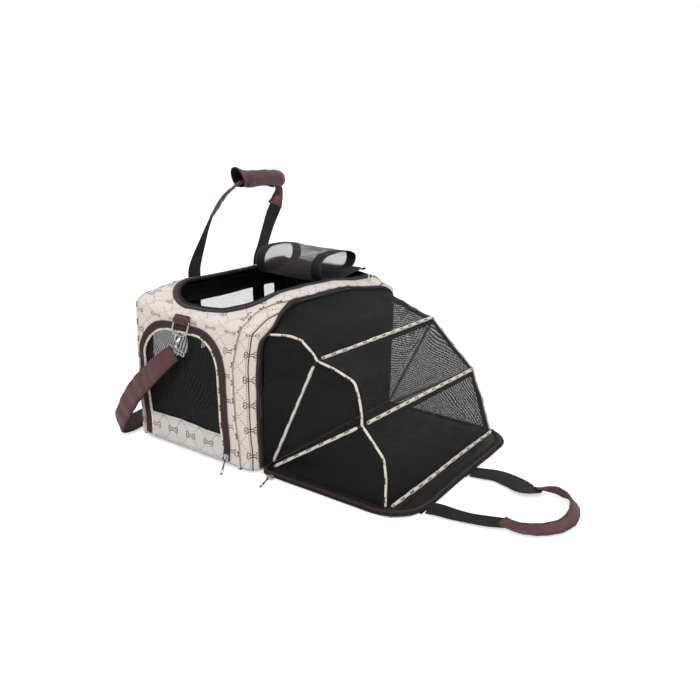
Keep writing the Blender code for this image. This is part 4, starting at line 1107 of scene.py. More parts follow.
def on_panel(outline, z, step=0.003):
    path = spaced(outline, step)
    rise = z + slack_z(path) * smoothstep(-path[:, 1], 0.17, 0.24)
    return np.column_stack([path, rise])


def side_panel():
    """The panel that folds down: printed outer skin, crumpled black lining and its zipper tape."""
    spots = panel_sheet(-0.0075, PANEL_NEAR + 0.006)
    flat = spots.reshape(-1, 2)
    fine = np.array([noise.fractal(Vector((x * 21, y * 21, 1.0)), 1.0, 2.1, 4) for x, y in flat])
    swell = np.array([noise.noise(Vector((x * 7, y * 6, 9.0))) for x, y in flat])
    rim = np.minimum(PANEL_HALF - 0.0075 - np.abs(flat[:, 0]), flat[:, 1] - PANEL_FAR - 0.0075)
    inside = smoothstep(rim, 0.0, 0.035)
    z = 0.0074 + inside * (0.0012 + 0.0026 * np.clip(swell, -0.4, 1) + 0.0014 * fine) + slack_z(flat) * (1 - inside) * 0.5
    rows = np.column_stack([flat, np.maximum(z, 0.0056)]).reshape(*spots.shape[:2], 3)
    lining = sheet("panel_lining", rows, [PANEL_LINING], "side_panel", "board")
    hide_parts("side_panel_board")
    skin_spots = panel_sheet(0.0006, PANEL_NEAR + 0.004, 50, 60)
    skin_flat = skin_spots.reshape(-1, 2)
    edge = np.minimum(PANEL_HALF - np.abs(skin_flat[:, 0]), skin_flat[:, 1] - PANEL_FAR)
    skin_z = 0.0019 + 0.0030 * (1 - smoothstep(edge, 0.0, 0.008)) + 0.0003 * np.clip(swell[: len(skin_flat)], -1, 1)
    under = np.column_stack([skin_flat, skin_z]).reshape(*skin_spots.shape[:2], 3)
    sheet("panel_outer_canvas", under, [CLOTH], "side_panel", "print_cloth", 0.0012)
    z_tape = (PANEL_TRACK[0].z + PANEL_TRACK[1].z) / 2
    up = (0, 0, 1)
    path = on_panel(panel_outline(-0.0056), z_tape)
    tape = sweep("panel_tape", path, up, band(0.0064, 0.0030, 0.0010), TAPE_CLOTH, "side_panel", "zip_tape")
    path = on_panel(panel_outline(-0.0006), z_tape - 0.0012)
    cord = sweep("panel_cord", path, up, oval(0.0052, 0.0046, 9), BLACK_TAPE, "side_panel", "zip_tape")
    path = on_panel(panel_outline(-0.0060), z_tape + 0.0024, 0.0008)
    coil = sweep("panel_coil", path, up, oval(0.0026, 0.0015, 6), COIL, "side_panel", "zip_tape", sizes=ribs(len(path)))
    rows = []
    for grow in (-0.0034, -0.0082):
        path = on_panel(panel_outline(grow), z_tape + 0.0019)
        rows.append(stitches("panel_row", path, up, DARK_THREAD, "side_panel", "zip_tape"))
    whole = joined("panel_tape", [tape, cord, coil, *rows])
    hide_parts("side_panel_zip_track")
    path = on_panel(panel_outline(-0.0112, PANEL_NEAR - 0.004), z_tape + 0.0012)
    lip = sweep("panel_lip", path, up, oval(0.0062, 0.0054, 10), BLACK_TAPE, "side_panel", "webbing")
    crumple(lip, 0.0009, 70.0)
    path = on_panel(panel_outline(-0.0166, PANEL_NEAR - 0.006), z_tape + 0.0016)
    stitches("panel_lip_stitches", path, up, DARK_THREAD, "side_panel", "webbing")


side_panel()


def hinge_fold():
    """The black fold of lining that covers the hinge line between the sill and the panel."""
    half = SIDE_HALF - 0.004
    path = spaced(np.array([(-half, -0.1535, 0.0068), (0, -0.1535, 0.0068), (half, -0.1535, 0.0068)]), 0.004)
    fold = sweep("hinge_fold", path, (0, 0, 1), oval(0.0084, 0.0092, 10), BLACK_TAPE, "cabin", "webbing")
    crumple(fold, 0.0007, 60.0)


hinge_fold()


def panel_rod():
    """The outer rod in its printed sleeve, sewn across the lining, with the tent's black hem beside it."""
    low, high = FLOOR_ROD
    x = np.linspace(low.x, high.x, 90)
    middle = np.column_stack([x, np.full(90, (low.y + high.y) / 2 + 0.0030), 0.0112 + 0.0008 * np.sin(x * 23)])
    taper = np.minimum(1, 0.6 + (high.x - np.abs(x)) / 0.012)
    rod = tube("outer_rod_sleeve", middle, 0.0032, SLEEVE, "side_panel", "rod_sleeve", sizes=taper, sides=12)
    crumple(rod, 0.0008, 60.0)
    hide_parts("outer_rod")
    rows = [middle + (0, y, z) for y, z in ((0.0055, -0.0020), (0.0015, -0.0032), (-0.0035, -0.0034), (-0.0095, -0.0030))]
    sheet("outer_rod_hem", np.array(rows), [BLACK_TAPE], "side_panel", "black_mesh", 0.0008)
    wire = np.column_stack([np.linspace(-0.2015, 0.2015, 30), np.full(30, middle[0, 1] + 0.0006), np.full(30, 0.0110)])
    tube("outer_rod_wire", wire, 0.0018, BLACK_STEEL, "side_panel", "spring_steel")


panel_rod()


def panel_webbing(tag):
    node = f"panel_webbing_{tag}"
    low, high = corners(node)
    path = [((low.x + high.x) / 2, y, (low.z + high.z) / 2) for y in np.linspace(low.y - 0.003, high.y, 60)]
    strip = sweep(node + "_strip", path, (0, 0, 1), band(high.x - low.x, 0.0010, 0.0), WEBBING, "side_panel", "webbing")
    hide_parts(node)


panel_webbing("near")
panel_webbing("far")


# ---------------------------------------------------------------- top flap, rolled up on the roof
FLAP_SPAN = (corners("top_flap_4")[0].y, corners("top_flap_4")[1].y)
FLAP_TIP_R, FLAP_BORDER, FLAP_TAPE = 0.070, 0.0300, 0.0025
ROLL = [(0.182, 0.2990), (0.160, 0.2920), (0.130, 0.2845), (0.100, 0.2800), (0.074, 0.2805), (0.0560, 0.2885)]
ROLL += [(0.0470, 0.3050), (0.0500, 0.3230), (0.0640, 0.3350), (0.095, 0.3395), (0.130, 0.3390), (0.150, 0.3370)]
ROLL += [(0.1640, 0.3300), (0.1680, 0.3180), (0.1620, 0.3060), (0.148, 0.3000), (0.130, 0.2975), (0.112, 0.2975)]
ROLL_HINGES = [(0.057, 0.3041), (0.046, 0.3232), (0.057, 0.3422), (0.162, 0.3422), (0.1698, 0.3288), (0.162, 0.3154)]
ROLL_TURN = 0.010


def flap_grid():
    """The rolled flap as rows along the roll, with the run of each row and the kinds of its columns."""
    path = spaced(flowing(np.array(ROLL), 14), 0.0022)
    run = np.arange(len(path)) * 0.0022
    y0, y1 = FLAP_SPAN
    shares = np.array([0, FLAP_TAPE, FLAP_TAPE * 1.6, FLAP_BORDER * 0.6, FLAP_BORDER, FLAP_BORDER + 0.002])
    width = y1 - y0
    middle = np.linspace(FLAP_BORDER + 0.006, width - FLAP_BORDER - 0.006, 34)
    columns = np.concatenate([shares, middle, (width - shares)[::-1]])
    rows = []
    for (x, z), at in zip(path, run):
        left = run[-1] - at
        cut = FLAP_TIP_R - math.sqrt(max(FLAP_TIP_R**2 - max(0.0, FLAP_TIP_R - left) ** 2, 0.0))
        scale = (width - 2 * cut * 0.98) / width * (0.80 - 0.05 * smoothstep(at, 0.010, 0.070))
        ys = (columns - width / 2) * scale + (y0 + y1) / 2
        row = []
        for y in ys:
            lift = 0.0030 * noise.noise(Vector((x * 9 + at * 5, y * 9, 2.0))) + 0.0012 * noise.noise(Vector((at * 42, y * 30, 5.0)))
            end = abs(y - (y0 + y1) / 2) / (width / 2)
            droop = -0.0035 * end**4 * smoothstep(z, 0.318, 0.340) + 0.0040 * end**3 * (1 - smoothstep(z, 0.290, 0.305))
            held = smoothstep(at, 0.0, 0.05)
            row.append((x + 0.8 * lift * held, y, z + (lift * smoothstep(z, 0.290, 0.325) + droop) * held))
        rows.append(row)
    return np.array(rows), run, path, columns, width


def top_flap():
    rows, run, path, columns, width = flap_grid()
    hinges = [run[np.argmin(np.linalg.norm(path - np.array(h), axis=1))] for h in ROLL_HINGES]
    middles = [(a + b) / 2 for a, b in zip(hinges[:-1], hinges[1:])]
    limits = [0.0, *middles, run[-1] + 1]
    bodies = ["cabin"] + [f"top_flap_{n}" for n in range(2, 8)]
    edge = np.minimum(columns[:-1] + columns[1:], 2 * width - columns[:-1] - columns[1:]) / 2
    for k, (start, end) in enumerate(zip(limits[:-1], limits[1:])):
        first, last = np.searchsorted(run, [start - 1e-6, end])
        picked = slice(max(first, 0), min(last + 1, len(run)))
        part, at = rows[picked], run[picked]
        if len(part) < 2:
            continue
        tip = np.minimum(run[-1] - (at[:-1] + at[1:]) / 2, 1)[:, None]
        near_rim = np.minimum(edge[None], tip)
        kinds = np.where(near_rim < FLAP_TAPE, 2, np.where(near_rim < FLAP_BORDER, 1, 0))
        looks = [FLAP_MESH, BLACK_TAPE, TAPE_CLOTH]
        piece = sheet(f"flap_cloth_{k + 1}", part, looks, "", "black_mesh", 0.0009, kinds)
        hinge = hinges[k]
        where = Vector((ROLL_HINGES[k][0], 0, ROLL_HINGES[k][1]))
        ahead = path[min(np.searchsorted(run, hinge + 0.004), len(path) - 1)] - path[np.searchsorted(run, hinge - 0.004)]
        ahead = Vector((ahead[0], 0, ahead[1])).normalized() * ROLL_TURN
        bodies[k + 1]
        where - ahead
        where + ahead
        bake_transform(piece)
        share = smoothstep(at, hinge - ROLL_TURN, hinge + ROLL_TURN)
        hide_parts(*(["top_flap_1", "top_flap_2"] if k == 0 else [f"top_flap_{k + 2}"]))


top_flap()


# ---------------------------------------------------------------- straps and handles
def ribbon(name, knots, ups, width, height, look, body, slot, sizes=None, crown=0.0, steps=12):
    """A strip along knots that turns with its ups. Sizes are shares of its width at the knots."""
    sizes = np.ones(len(knots)) if sizes is None else np.array(sizes, float)
    path, faces_up, shares = flowing(knots, steps, ups, sizes)
    both = np.column_stack([shares[:, 0], 0.5 + 0.5 * shares[:, 0]])
    return sweep(name, path, faces_up, band(width, height, crown), look, body, slot, sizes=both)


def edge_rows(name, knots, ups, width, height, look, body, slot, sizes=None, inset=0.0028, steps=12):
    """Stitching along both edges of a strip, on its upper face."""
    sizes = np.ones(len(knots)) if sizes is None else np.array(sizes, float)
    path, faces_up, shares = flowing(knots, steps, ups, sizes)
    tangents = np.gradient(path, axis=0)
    across = np.cross(tangents, faces_up)
    across /= np.linalg.norm(across, axis=1)[:, None]
    up = np.cross(across, tangents)
    up /= np.linalg.norm(up, axis=1)[:, None]
    rows = []
    for turn in (-1, 1):
        line = path + across * (turn * (width / 2 * shares - inset)) + up * (height / 2 + 0.0002)
        rows.append(stitches(name, line, up, look, body, slot))
    return joined(name, rows)


def back_handle():
    y = corners("back_handle_core")[0].y + 0.011
    low = corners("back_handle_webbing_near")[0].z
    foot_y = corners("back_webbing_near")[1].y + 0.0014
    out = (0, 1, 0)
    near = [(-0.062, foot_y, low), (-0.061, foot_y + 0.001, low + 0.022), (-0.049, y, 0.320), (-0.036, y, 0.345)]
    near += [(-0.021, y, 0.374), (-0.004, y, 0.402)]
    ups = [out, out, (-0.05, 1, 0.05), (-0.1, 0.95, 0.1), (-0.2, 0.9, 0.2), (-0.3, 0.8, 0.3)]
    sizes = [1, 0.98, 0.84, 0.66, 0.45, 0.30]
    leg = ribbon("back_leg_near", near, ups, 0.034, 0.0019, WEBBING, "back_handle", "webbing", sizes)
    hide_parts("back_handle_webbing_near")
    far = [(0.132, foot_y, low), (0.133, foot_y + 0.001, low + 0.022), (0.146, y, 0.318), (0.160, y, 0.350)]
    far += [(0.176, y, 0.382), (0.196, y, 0.412)]
    ups = [out, out, (-0.05, 0.98, 0.1), (0, 0.95, 0.2), (0.1, 0.9, 0.1), (0.35, 0.85, -0.2)]
    leg = ribbon("back_leg_far", far, ups, 0.038, 0.0019, WEBBING, "back_handle", "webbing", [1, 1, 1, 1, 0.96, 0.72])
    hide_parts("back_handle_webbing_far")
    core = [(-0.010, y - 0.001, 0.396), (0.004, y - 0.001, 0.410), (0.028, y, 0.4325), (0.050, y, 0.4465), (0.072, y, 0.4575)]
    core += [(0.110, y, 0.4650), (0.155, y, 0.4670), (0.186, y, 0.4620), (0.2000, y, 0.4510), (0.2030, y, 0.4380)]
    core += [(0.1980, y, 0.4250), (0.1900, y, 0.4080)]
    ups = [(-0.30, 0.85, 0.32), (-0.30, 0.85, 0.35), (-0.35, 0.75, 0.45), (-0.35, 0.55, 0.7), (-0.2, 0.3, 1), (0, 0, 1)]
    ups += [(0, 0, 1), (0.3, 0, 0.9), (0.8, 0.1, 0.5), (1, 0.2, 0.1), (0.85, 0.55, -0.3), (0.4, 0.85, -0.2)]
    sizes = [0.55, 0.75, 0.95, 1.05, 1.05, 1, 1, 1, 0.9, 0.95, 1.15, 1.60]
    grip = ribbon("back_grip", core, ups, 0.021, 0.0042, LEATHER, "back_handle", "leather", sizes, 0.0008)
    crumple(grip, 0.0011, 95.0)
    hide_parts("back_handle_core")
    edge_rows("back_grip_stitches", core[1:-1], ups[1:-1], 0.021, 0.0050, THREAD, "back_handle", "leather", sizes[1:-1])


back_handle()


def grip_wrap():
    """The leather wrap round the top of the handle: flared and dark at its open near end, open underneath."""
    low, high = corners("grip_wrap")
    y = (low.y + high.y) / 2
    knots = [(0.0700, y, 0.4695), (0.0850, y, 0.4665), (0.1060, y, 0.4662), (0.1400, y, 0.4675)]
    knots += [(0.1700, y, 0.4665), (0.1880, y, 0.4645), (0.2010, y, 0.4620)]
    wide = [0.0160, 0.0185, 0.0195, 0.0195, 0.0190, 0.0185, 0.0170]
    tall = [0.0195, 0.0180, 0.0170, 0.0165, 0.0172, 0.0185, 0.0180]
    path, sizes = flowing(knots, 8, np.column_stack([wide, tall]))
    turns = np.radians(np.linspace(-152, 152, 45))
    rows = []
    for (x, _, z), (across, up) in zip(path, sizes):
        share = (x - 0.070) / 0.131
        row = []
        for a in turns:
            lip = 1 + 0.16 * (1 - share) ** 3 * max(0.0, math.cos(a - 0.4)) + 0.05 * share**3 * math.sin(3 * a)
            lean = -0.008 * math.cos(a) * (1 - share) ** 2 + 0.005 * math.cos(a) * share**3
            row.append((x + lean, y + across * math.sin(a) * lip, z + up * math.cos(a) * lip))
        rows.append(row)
    wrap = sheet("leather_wrap", np.array(rows), [LEATHER, LEATHER_BACK], "grip_wrap", "leather", 0.0020, None, 1)
    crumple(wrap, 0.0013, 80.0)
    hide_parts("grip_wrap")
    ends = [np.array(rows[i])[2:-2] for i in (3, -4)]
    for tag, ring in zip(("near", "far"), ends):
        middle = ring.mean(axis=0)
        ups = (ring - middle) * (0, 1, 1)
        ups /= np.linalg.norm(ups, axis=1)[:, None]
        stitches(f"leather_wrap_stitches_{tag}", ring + ups * 0.0013, ups, THREAD, "grip_wrap", "leather")


grip_wrap()


def side_handle():
    """The side panel's handle, spread on the ground with its leather grip on edge."""
    near_foot, far_foot = corners("panel_webbing_near"), corners("panel_webbing_far")
    width = far_foot[1].x - far_foot[0].x
    up = (0, 0, 1)
    start = corners("side_handle_webbing_near")[1].y
    far_x, near_x = (far_foot[0].x + far_foot[1].x) / 2, (near_foot[0].x + near_foot[1].x) / 2
    far = [(far_x, start, 0.0042), (0.0185, start - 0.014, 0.0048), (0.0270, -0.482, 0.0050), (0.0200, -0.515, 0.0054)]
    far += [(0.0080, -0.543, 0.0070), (0.0110, -0.566, 0.0090)]
    ups = [up, up, up, up, (0.1, 0.05, 1), (0.25, 0.15, 1)]
    leg = ribbon("side_leg_far", far, ups, width * 1.15, 0.0019, WEBBING, "side_handle", "webbing", [0.88, 0.92, 1, 1.05, 1.0, 0.55])
    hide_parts("side_handle_webbing_far")
    near = [(near_x, start, 0.0042), (near_x + 0.003, start - 0.014, 0.0048), (-0.139, -0.480, 0.0050)]
    near += [(-0.1350, -0.505, 0.0054), (-0.1290, -0.532, 0.0070), (-0.1210, -0.5600, 0.0095)]
    ups = [up, up, up, up, (-0.1, 0, 1), (-0.25, 0, 1)]
    leg = ribbon("side_leg_near", near, ups, width, 0.0019, WEBBING, "side_handle", "webbing", [1, 1, 0.90, 0.82, 0.74, 0.56])
    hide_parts("side_handle_webbing_near")
    z = 0.0105
    core = [(0.011, -0.556, z), (0.0210, -0.568, z), (0.0265, -0.585, z), (0.0190, -0.606, z), (-0.002, -0.6245, z)]
    core += [(-0.028, -0.6325, z), (-0.056, -0.6345, z), (-0.084, -0.6270, z), (-0.108, -0.6090, z)]
    core += [(-0.121, -0.5880, z), (-0.1235, -0.5700, z), (-0.120, -0.5520, z)]
    ups = [(0.3, 0.1, 0.9), (0.6, 0.1, 0.75), (0.9, -0.1, 0.5), (0.7, -0.5, 0.6), (0.3, -0.6, 0.75), (0.05, -0.55, 0.85)]
    ups += [(-0.1, -0.5, 0.87), (-0.2, -0.45, 0.87), (-0.35, -0.35, 0.87), (-0.45, -0.1, 0.87), (-0.35, 0, 0.92), (-0.2, 0, 1)]
    sizes = [0.85, 0.95, 0.95, 1, 1, 1, 1, 1, 1, 0.95, 0.95, 1.0]
    grip = ribbon("side_grip", core, ups, 0.0215, 0.0040, LEATHER, "side_handle", "leather", sizes, 0.0009)
    crumple(grip, 0.0010, 90.0)
    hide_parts("side_handle_grip")
    edge_rows("side_grip_stitches", core, ups, 0.0215, 0.0050, DARK_THREAD, "side_handle", "leather", sizes)
    mark = np.array([(-0.006, -0.6288, z + 0.004), (-0.0065, -0.6290, z + 0.0085)])
    stitches("side_grip_mark", mark, (0.4, -0.9, 0.1), THREAD, "side_handle", "leather", 0.0040, 0.0001, 0.0007)


side_handle()


def strap_line():
    """The shoulder strap's middle line and its faces, from the near hook to the far one."""
    half = [(-0.2420, 0.0235, 0.1910), (-0.2480, 0.0340, 0.1815), (-0.2530, 0.0500, 0.1665), (-0.2560, 0.0770, 0.1415)]
    half += [(-0.2572, 0.1030, 0.1160), (-0.2575, 0.1260, 0.0890), (-0.2570, 0.1450, 0.0620), (-0.2555, 0.1590, 0.0405)]
    half += [(-0.2540, 0.1665, 0.0275), (-0.2500, 0.1700, 0.0205), (-0.2420, 0.1715, 0.0160), (-0.2250, 0.1745, 0.0125)]
    half += [(-0.1900, 0.1840, 0.0110), (-0.1000, 0.1960, 0.0110)]
    out = [(-1, 0, 0), (-1, 0, 0.05), (-1, -0.02, 0.10), (-1, 0.1, 0.12), (-1, 0.12, 0.10), (-1, 0.12, 0.05)]
    out += [(-1, 0.12, 0), (-1, 0.15, -0.05), (-0.9, 0.35, -0.25), (-0.45, 0.62, -0.62), (-0.1, 0.55, -0.80)]
    out += [(0, 0.45, -0.88), (0, 0.40, -0.90), (0, 0.45, -0.88)]
    sizes = [0.84, 0.92, 1, 1.10, 1.16, 1.16, 1.10, 1.04, 1.0, 0.98, 0.98, 1, 1, 1]
    near, ups = np.array(half), np.array(out)
    middle, up = np.array([[0, 0.1980, 0.0110]]), np.array([[0, 0.45, -0.88]])
    knots = np.vstack([near, middle, (near * (-1, 1, 1))[::-1]])
    faces = np.vstack([ups, up, (ups * (-1, 1, 1))[::-1]])
    return knots, faces, np.array(sizes + [1] + sizes[::-1])


def shoulder_strap():
    """Leather-look strap with a cloth backing, crossed by wrinkles where it bends. The backing's dark brown is painted
    shade on the strap's inner face.
    """
    knots, faces_up, sizes = strap_line()
    width = 0.0350
    path, ups, shares = flowing(knots, 22, faces_up, sizes)
    lines = np.array([noise.noise(Vector((p[1] * 62 + p[2] * 62, p[0] * 20, 1.0))) for p in path])
    run = np.concatenate([[0], np.cumsum(np.linalg.norm(np.diff(path, axis=0), axis=1))])
    waves = np.array([noise.noise(Vector((r * 62, 4.0, r * 9))) for r in run])
    path = path + ups * (0.0011 * lines + 0.0018 * waves)[:, None]
    both = np.column_stack([shares[:, 0], np.ones(len(path))])
    face = sweep("strap_face", path, ups, band(width, 0.0022, 0.0007), LEATHER, "shoulder_strap", "leather", sizes=both)
    crumple(face, 0.0009, 120.0, (0.6, 1.6, 1.6))
    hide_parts("shoulder_strap")
    tangents = np.gradient(path, axis=0)
    inward = ups - tangents * ((ups * tangents).sum(axis=1) / (tangents**2).sum(axis=1))[:, None]
    inward /= np.linalg.norm(inward, axis=1)[:, None]
    back = path - inward * 0.0021
    lining = band(width + 0.0022, 0.0016)
    sweep("strap_back", back, ups, lining, STRAP_BACK_PAINTED_SHADE, "shoulder_strap", "leather", sizes=both)
    edge_rows("strap_stitches", knots, faces_up, width, 0.0034, DARK_THREAD, "shoulder_strap", "leather", sizes, 0.0030, 22)
    for tag, turn in (("near", 1), ("far", -1)):
        top = knots[0] * (turn, 1, 1) if turn == 1 else knots[-1]
        down = (knots[1] - knots[0]) / np.linalg.norm(knots[1] - knots[0]) * (turn, 1, 1) if turn == 1 else None
        if down is None:
            down = (knots[-2] - knots[-1]) / np.linalg.norm(knots[-2] - knots[-1])
        side = np.array([1.0, 0, 0])
        across = np.cross(down, side)
        across /= np.linalg.norm(across)
        start = top + down * 0.020 - across * 0.012 + side * (-turn * 0.0031)
        end = top + down * 0.020 + across * 0.012 + side * (-turn * 0.0031)
        stitches(f"strap_end_row_{tag}", np.array([start, end]), (-turn, 0, 0), DARK_THREAD, "shoulder_strap", "leather")


shoulder_strap()


# ---------------------------------------------------------------- small fittings
def leather_tab(tag, turn):
    """The stitched leather tab that holds a D-ring to the end of the bag."""
    node = f"strap_tab_{tag}"
    low, high = corners(node)
    y = (low.y + high.y) / 2
    x = turn * HALF_L
    ring_x = turn * (HALF_L + 0.005)
    z = corners(f"d_ring_{tag}")[1].z - 0.0016
    half = (high.y - low.y) / 2
    loop = [(x + turn * 0.0006, y, high.z + 0.0005), (x + turn * 0.0026, y, high.z - 0.0020), (ring_x + turn * 0.0016, y, z + 0.0052)]
    loop += [(ring_x + turn * 0.0038, y, z), (ring_x + turn * 0.0010, y, z - 0.0036), (x + turn * 0.0012, y, z - 0.0022)]
    path = flowing(loop, 8)
    middle = np.array([x - turn * 0.004, y, z + 0.001])
    ups = path - middle
    tab = sweep(f"leather_tab_{tag}", path, ups, band(2.8 * half, 0.0018, 0.0004), TAB_LEATHER, "cabin", "leather")
    crumple(tab, 0.0005, 130.0)
    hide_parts(node)
    spots = [(x + turn * 0.0040, y + s * (half - 0.003), high.z + 0.002) for s in (-1, 1)]
    stitches(f"leather_tab_row_{tag}", np.array(spots), (turn, 0, 0.3), THREAD, "cabin", "leather")


leather_tab("near", -1)
leather_tab("far", 1)


def pull_shape(name, eye, tip, up, body, node, look=NICKEL, width=0.0052):
    """A cast pull: a small head at the slider, a waist, and a broad end with a slot."""
    eye, tip, up = np.array(eye, float), np.array(tip, float), np.array(up, float)
    length = np.linalg.norm(tip - eye)
    ahead = (tip - eye) / length
    across = np.cross(up, ahead)
    across /= np.linalg.norm(across)
    up = np.cross(ahead, across)
    outline = []
    shares = [(0.0, 0.55), (0.06, 0.85), (0.14, 0.80), (0.24, 0.48), (0.40, 0.52), (0.60, 0.78), (0.78, 1.0), (0.92, 0.9), (1.0, 0.45)]
    for share, wide in shares:
        outline.append(eye + ahead * length * share + across * width / 2 * wide)
    for share, wide in shares[::-1]:
        outline.append(eye + ahead * length * share - across * width / 2 * wide)
    slot = [eye + ahead * length * s + across * width / 2 * w for s, w in ((0.66, 0.4), (0.86, 0.5), (0.86, -0.5), (0.66, -0.4))]
    outline, slot = np.array(outline), np.array(slot)
    rims = [outline + up * h for h in (0.0006, -0.0006)]
    shape = bmesh.new()
    loops = [[shape.verts.new(p) for p in ring] for ring in (*rims, slot + up * 0.0006, slot - up * 0.0006)]
    for ring in loops:
        for a, b in zip(ring, ring[1:] + ring[:1]):
            shape.edges.new((a, b))
    for outer, inner in ((loops[0], loops[2]), (loops[1], loops[3])):
        edges = [e for e in shape.edges if all(v in outer or v in inner for v in e.verts)]
        bmesh.ops.triangle_fill(shape, edges=edges, use_beauty=True)
    for a, b in ((loops[0], loops[1]), (loops[2], loops[3])):
        for i in range(len(a)):
            j = (i + 1) % len(a)
            shape.faces.new((a[i], a[j], b[j], b[i]))
    bmesh.ops.recalc_face_normals(shape, faces=shape.faces)
    data = bpy.data.meshes.new(name)
    shape.to_mesh(data)
    shape.free()
    data.materials.append(look)
    thing = bpy.data.objects.new(name, data)
    bpy.context.scene.collection.objects.link(thing)
    soft = thing.modifiers.new("edges", "BEVEL")
    soft.width, soft.segments = 0.0003, 2
    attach(thing, body)
    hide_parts(node)
    return thing


def slider_shape(name, node, along, up, body, look=NICKEL):
    """A zipper slider: two rounded plates, with a bridge over the top."""
    low, high = corners(node)
    middle = (np.array(low) + np.array(high)) / 2
    along, up = np.array(along, float), np.array(up, float)
    across = np.cross(up, along)
    size = np.array(high) - np.array(low)
    length, wide, tall = (abs(size.dot(axis)) for axis in (along, across, up))
    things = []
    for level, thick in ((-0.34, 0.30), (0.16, 0.30)):
        outline = [(-0.5, 0.30), (-0.44, 0.42), (-0.1, 0.5), (0.3, 0.5), (0.46, 0.40), (0.5, 0.16)]
        outline += [(a, -b) for a, b in outline[::-1]]
        base = [middle + along * a * length + across * b * wide for a, b in outline]
        points = [p + up * tall * (level - thick / 2) for p in base] + [p + up * tall * (level + thick / 2) for p in base]
        count = len(base)
        faces = [tuple(range(count)), tuple(reversed(range(count, 2 * count)))]
        faces += [(i, (i + 1) % count, count + (i + 1) % count, count + i) for i in range(count)]
        things.append(made(name, points, faces, [look], body, "nickel", smooth=False))
    arch_line = [(-0.40, 0.22), (-0.36, 0.46), (-0.1, 0.60), (0.2, 0.58), (0.36, 0.42), (0.40, 0.22)]
    bridge = [middle + along * a * length + up * b * tall for a, b in arch_line]
    things.append(sweep(name, flowing(bridge, 5), across, oval(tall * 0.22, wide * 0.34, 8), look, body, "nickel"))
    whole = joined(name, things)
    soft = whole.modifiers.new("edges", "BEVEL")
    soft.width, soft.segments = 0.00025, 2
    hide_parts(node)
    return whole


def pull_ends(node):
    """The low and high corners of a thin pull's box, which lie on its line."""
    low, high = corners(node)
    return np.array(low), np.array(high)


slider_shape("side_slider_body", "side_slider", (0, 1, 0), (-1, 0, 0), "side_slider")
slider_shape("door_slider_body", "door_slider", (0, 0, 1), (-1, 0, 0), "door_slider")
slider_shape("top_slider_body", "top_slider", (1, 0, 0), (0, 0, 1), "top_slider", BLACK_STEEL)
low, high = pull_ends("side_pull")
pull_shape("side_pull_tag", (high[0], high[1] - 0.003, 0.0058), (low[0], low[1] + 0.003, 0.0030), (0, 0, 1), "side_pull", "side_pull")
low, high = pull_ends("door_pull")
pull_shape("door_pull_tag", (high[0], high[1] - 0.0025, high[2] - 0.001), (low[0], low[1] + 0.002, low[2] + 0.001), (0.3, 0.1, 0.9), "door_pull", "door_pull")
low, high = pull_ends("top_pull")
middle_y = (low[1] + high[1]) / 2
pull_shape("top_pull_tag", (high[0], middle_y, high[2] - 0.0006), (low[0], middle_y, low[2] + 0.0006), (0, 0, 1), "top_pull", "top_pull", BLACK_STEEL)


def metal(node, look=NICKEL):
    """A CAD fitting that is shown as it is, in its own metal or plastic."""
    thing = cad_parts[node]
    thing.data.materials.clear()
    thing.data.materials.append(look)


for tag in ("near", "far"):
    for node in (f"d_ring_{tag}", f"snap_hook_{tag}", f"hook_gate_{tag}", f"hook_swivel_{tag}", f"strap_loop_{tag}"):
        metal(node)
    metal(f"bow_anchor_{tag}", PLASTIC)
metal("base_board", BOARD)


def hoop(node, name, section=0.0032):
    """The sewn cloth channel of a hoop of spring wire, inside the tub."""
    low, high = corners(node)
    y = (low.y + high.y) / 2
    turn = 1 if y > 0 else -1
    z0, x = low.z + 0.008, high.x - 0.0034
    knots = [(-x, y, z0), (-x, y, 0.12), (-x, y, high.z - 0.060), (-x + 0.006, y, high.z - 0.032)]
    knots += [(-x + 0.022, y, high.z - 0.014), (-x + 0.052, y, high.z - 0.006), (-0.08, y, high.z - 0.0045)]
    path = spaced(flowing(both_ends(knots), 10), 0.005)
    inward = path * (0.985, 0.985, 0.99)
    channel = tube(name, soften(inward), section, BLACK_TAPE, "cabin", "spring_steel", sides=10, start=(0, 1, 0))
    crumple(channel, 0.0006, 60.0)
    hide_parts(node)


hoop("front_frame_wire", "front_hoop_channel")
hoop("back_frame_wire", "back_hoop_channel")


def floor_mat():
    """The fleece mat on the base board: an inflated sheet that settles under its own weight."""
    low, high = corners("floor_mat")
    size = high - low
    shape = bmesh.new()
    bmesh.ops.create_grid(shape, x_segments=62, y_segments=38, size=0.5)
    bmesh.ops.scale(shape, vec=(size.x - 0.004, size.y - 0.004, 1), verts=shape.verts)
    top = bmesh.ops.duplicate(shape, geom=shape.verts[:] + shape.edges[:] + shape.faces[:])["geom"]
    bmesh.ops.translate(shape, vec=(0, 0, 0.0012), verts=[g for g in top if isinstance(g, bmesh.types.BMVert)])
    rims = [e for e in shape.edges if e.is_boundary]
    bmesh.ops.bridge_loops(shape, edges=rims)
    bmesh.ops.recalc_face_normals(shape, faces=shape.faces)
    bmesh.ops.translate(shape, vec=((low.x + high.x) / 2, (low.y + high.y) / 2, low.z + 0.0014), verts=shape.verts)
    data = bpy.data.meshes.new("mat")
    shape.to_mesh(data)
    shape.free()
    mat = bpy.data.objects.new("fleece_mat", data)
    bpy.context.scene.collection.objects.link(mat)
    data.materials.append(FLEECE)
    layer = data.uv_layers.new(name="UVMap")
    for loop in data.loops:
        layer.data[loop.index].uv = data.vertices[loop.vertex_index].co.xy
    settle(mat, low)
    for polygon in data.polygons:
        polygon.use_smooth = True
    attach(mat, "floor_mat")
    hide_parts("floor_mat")


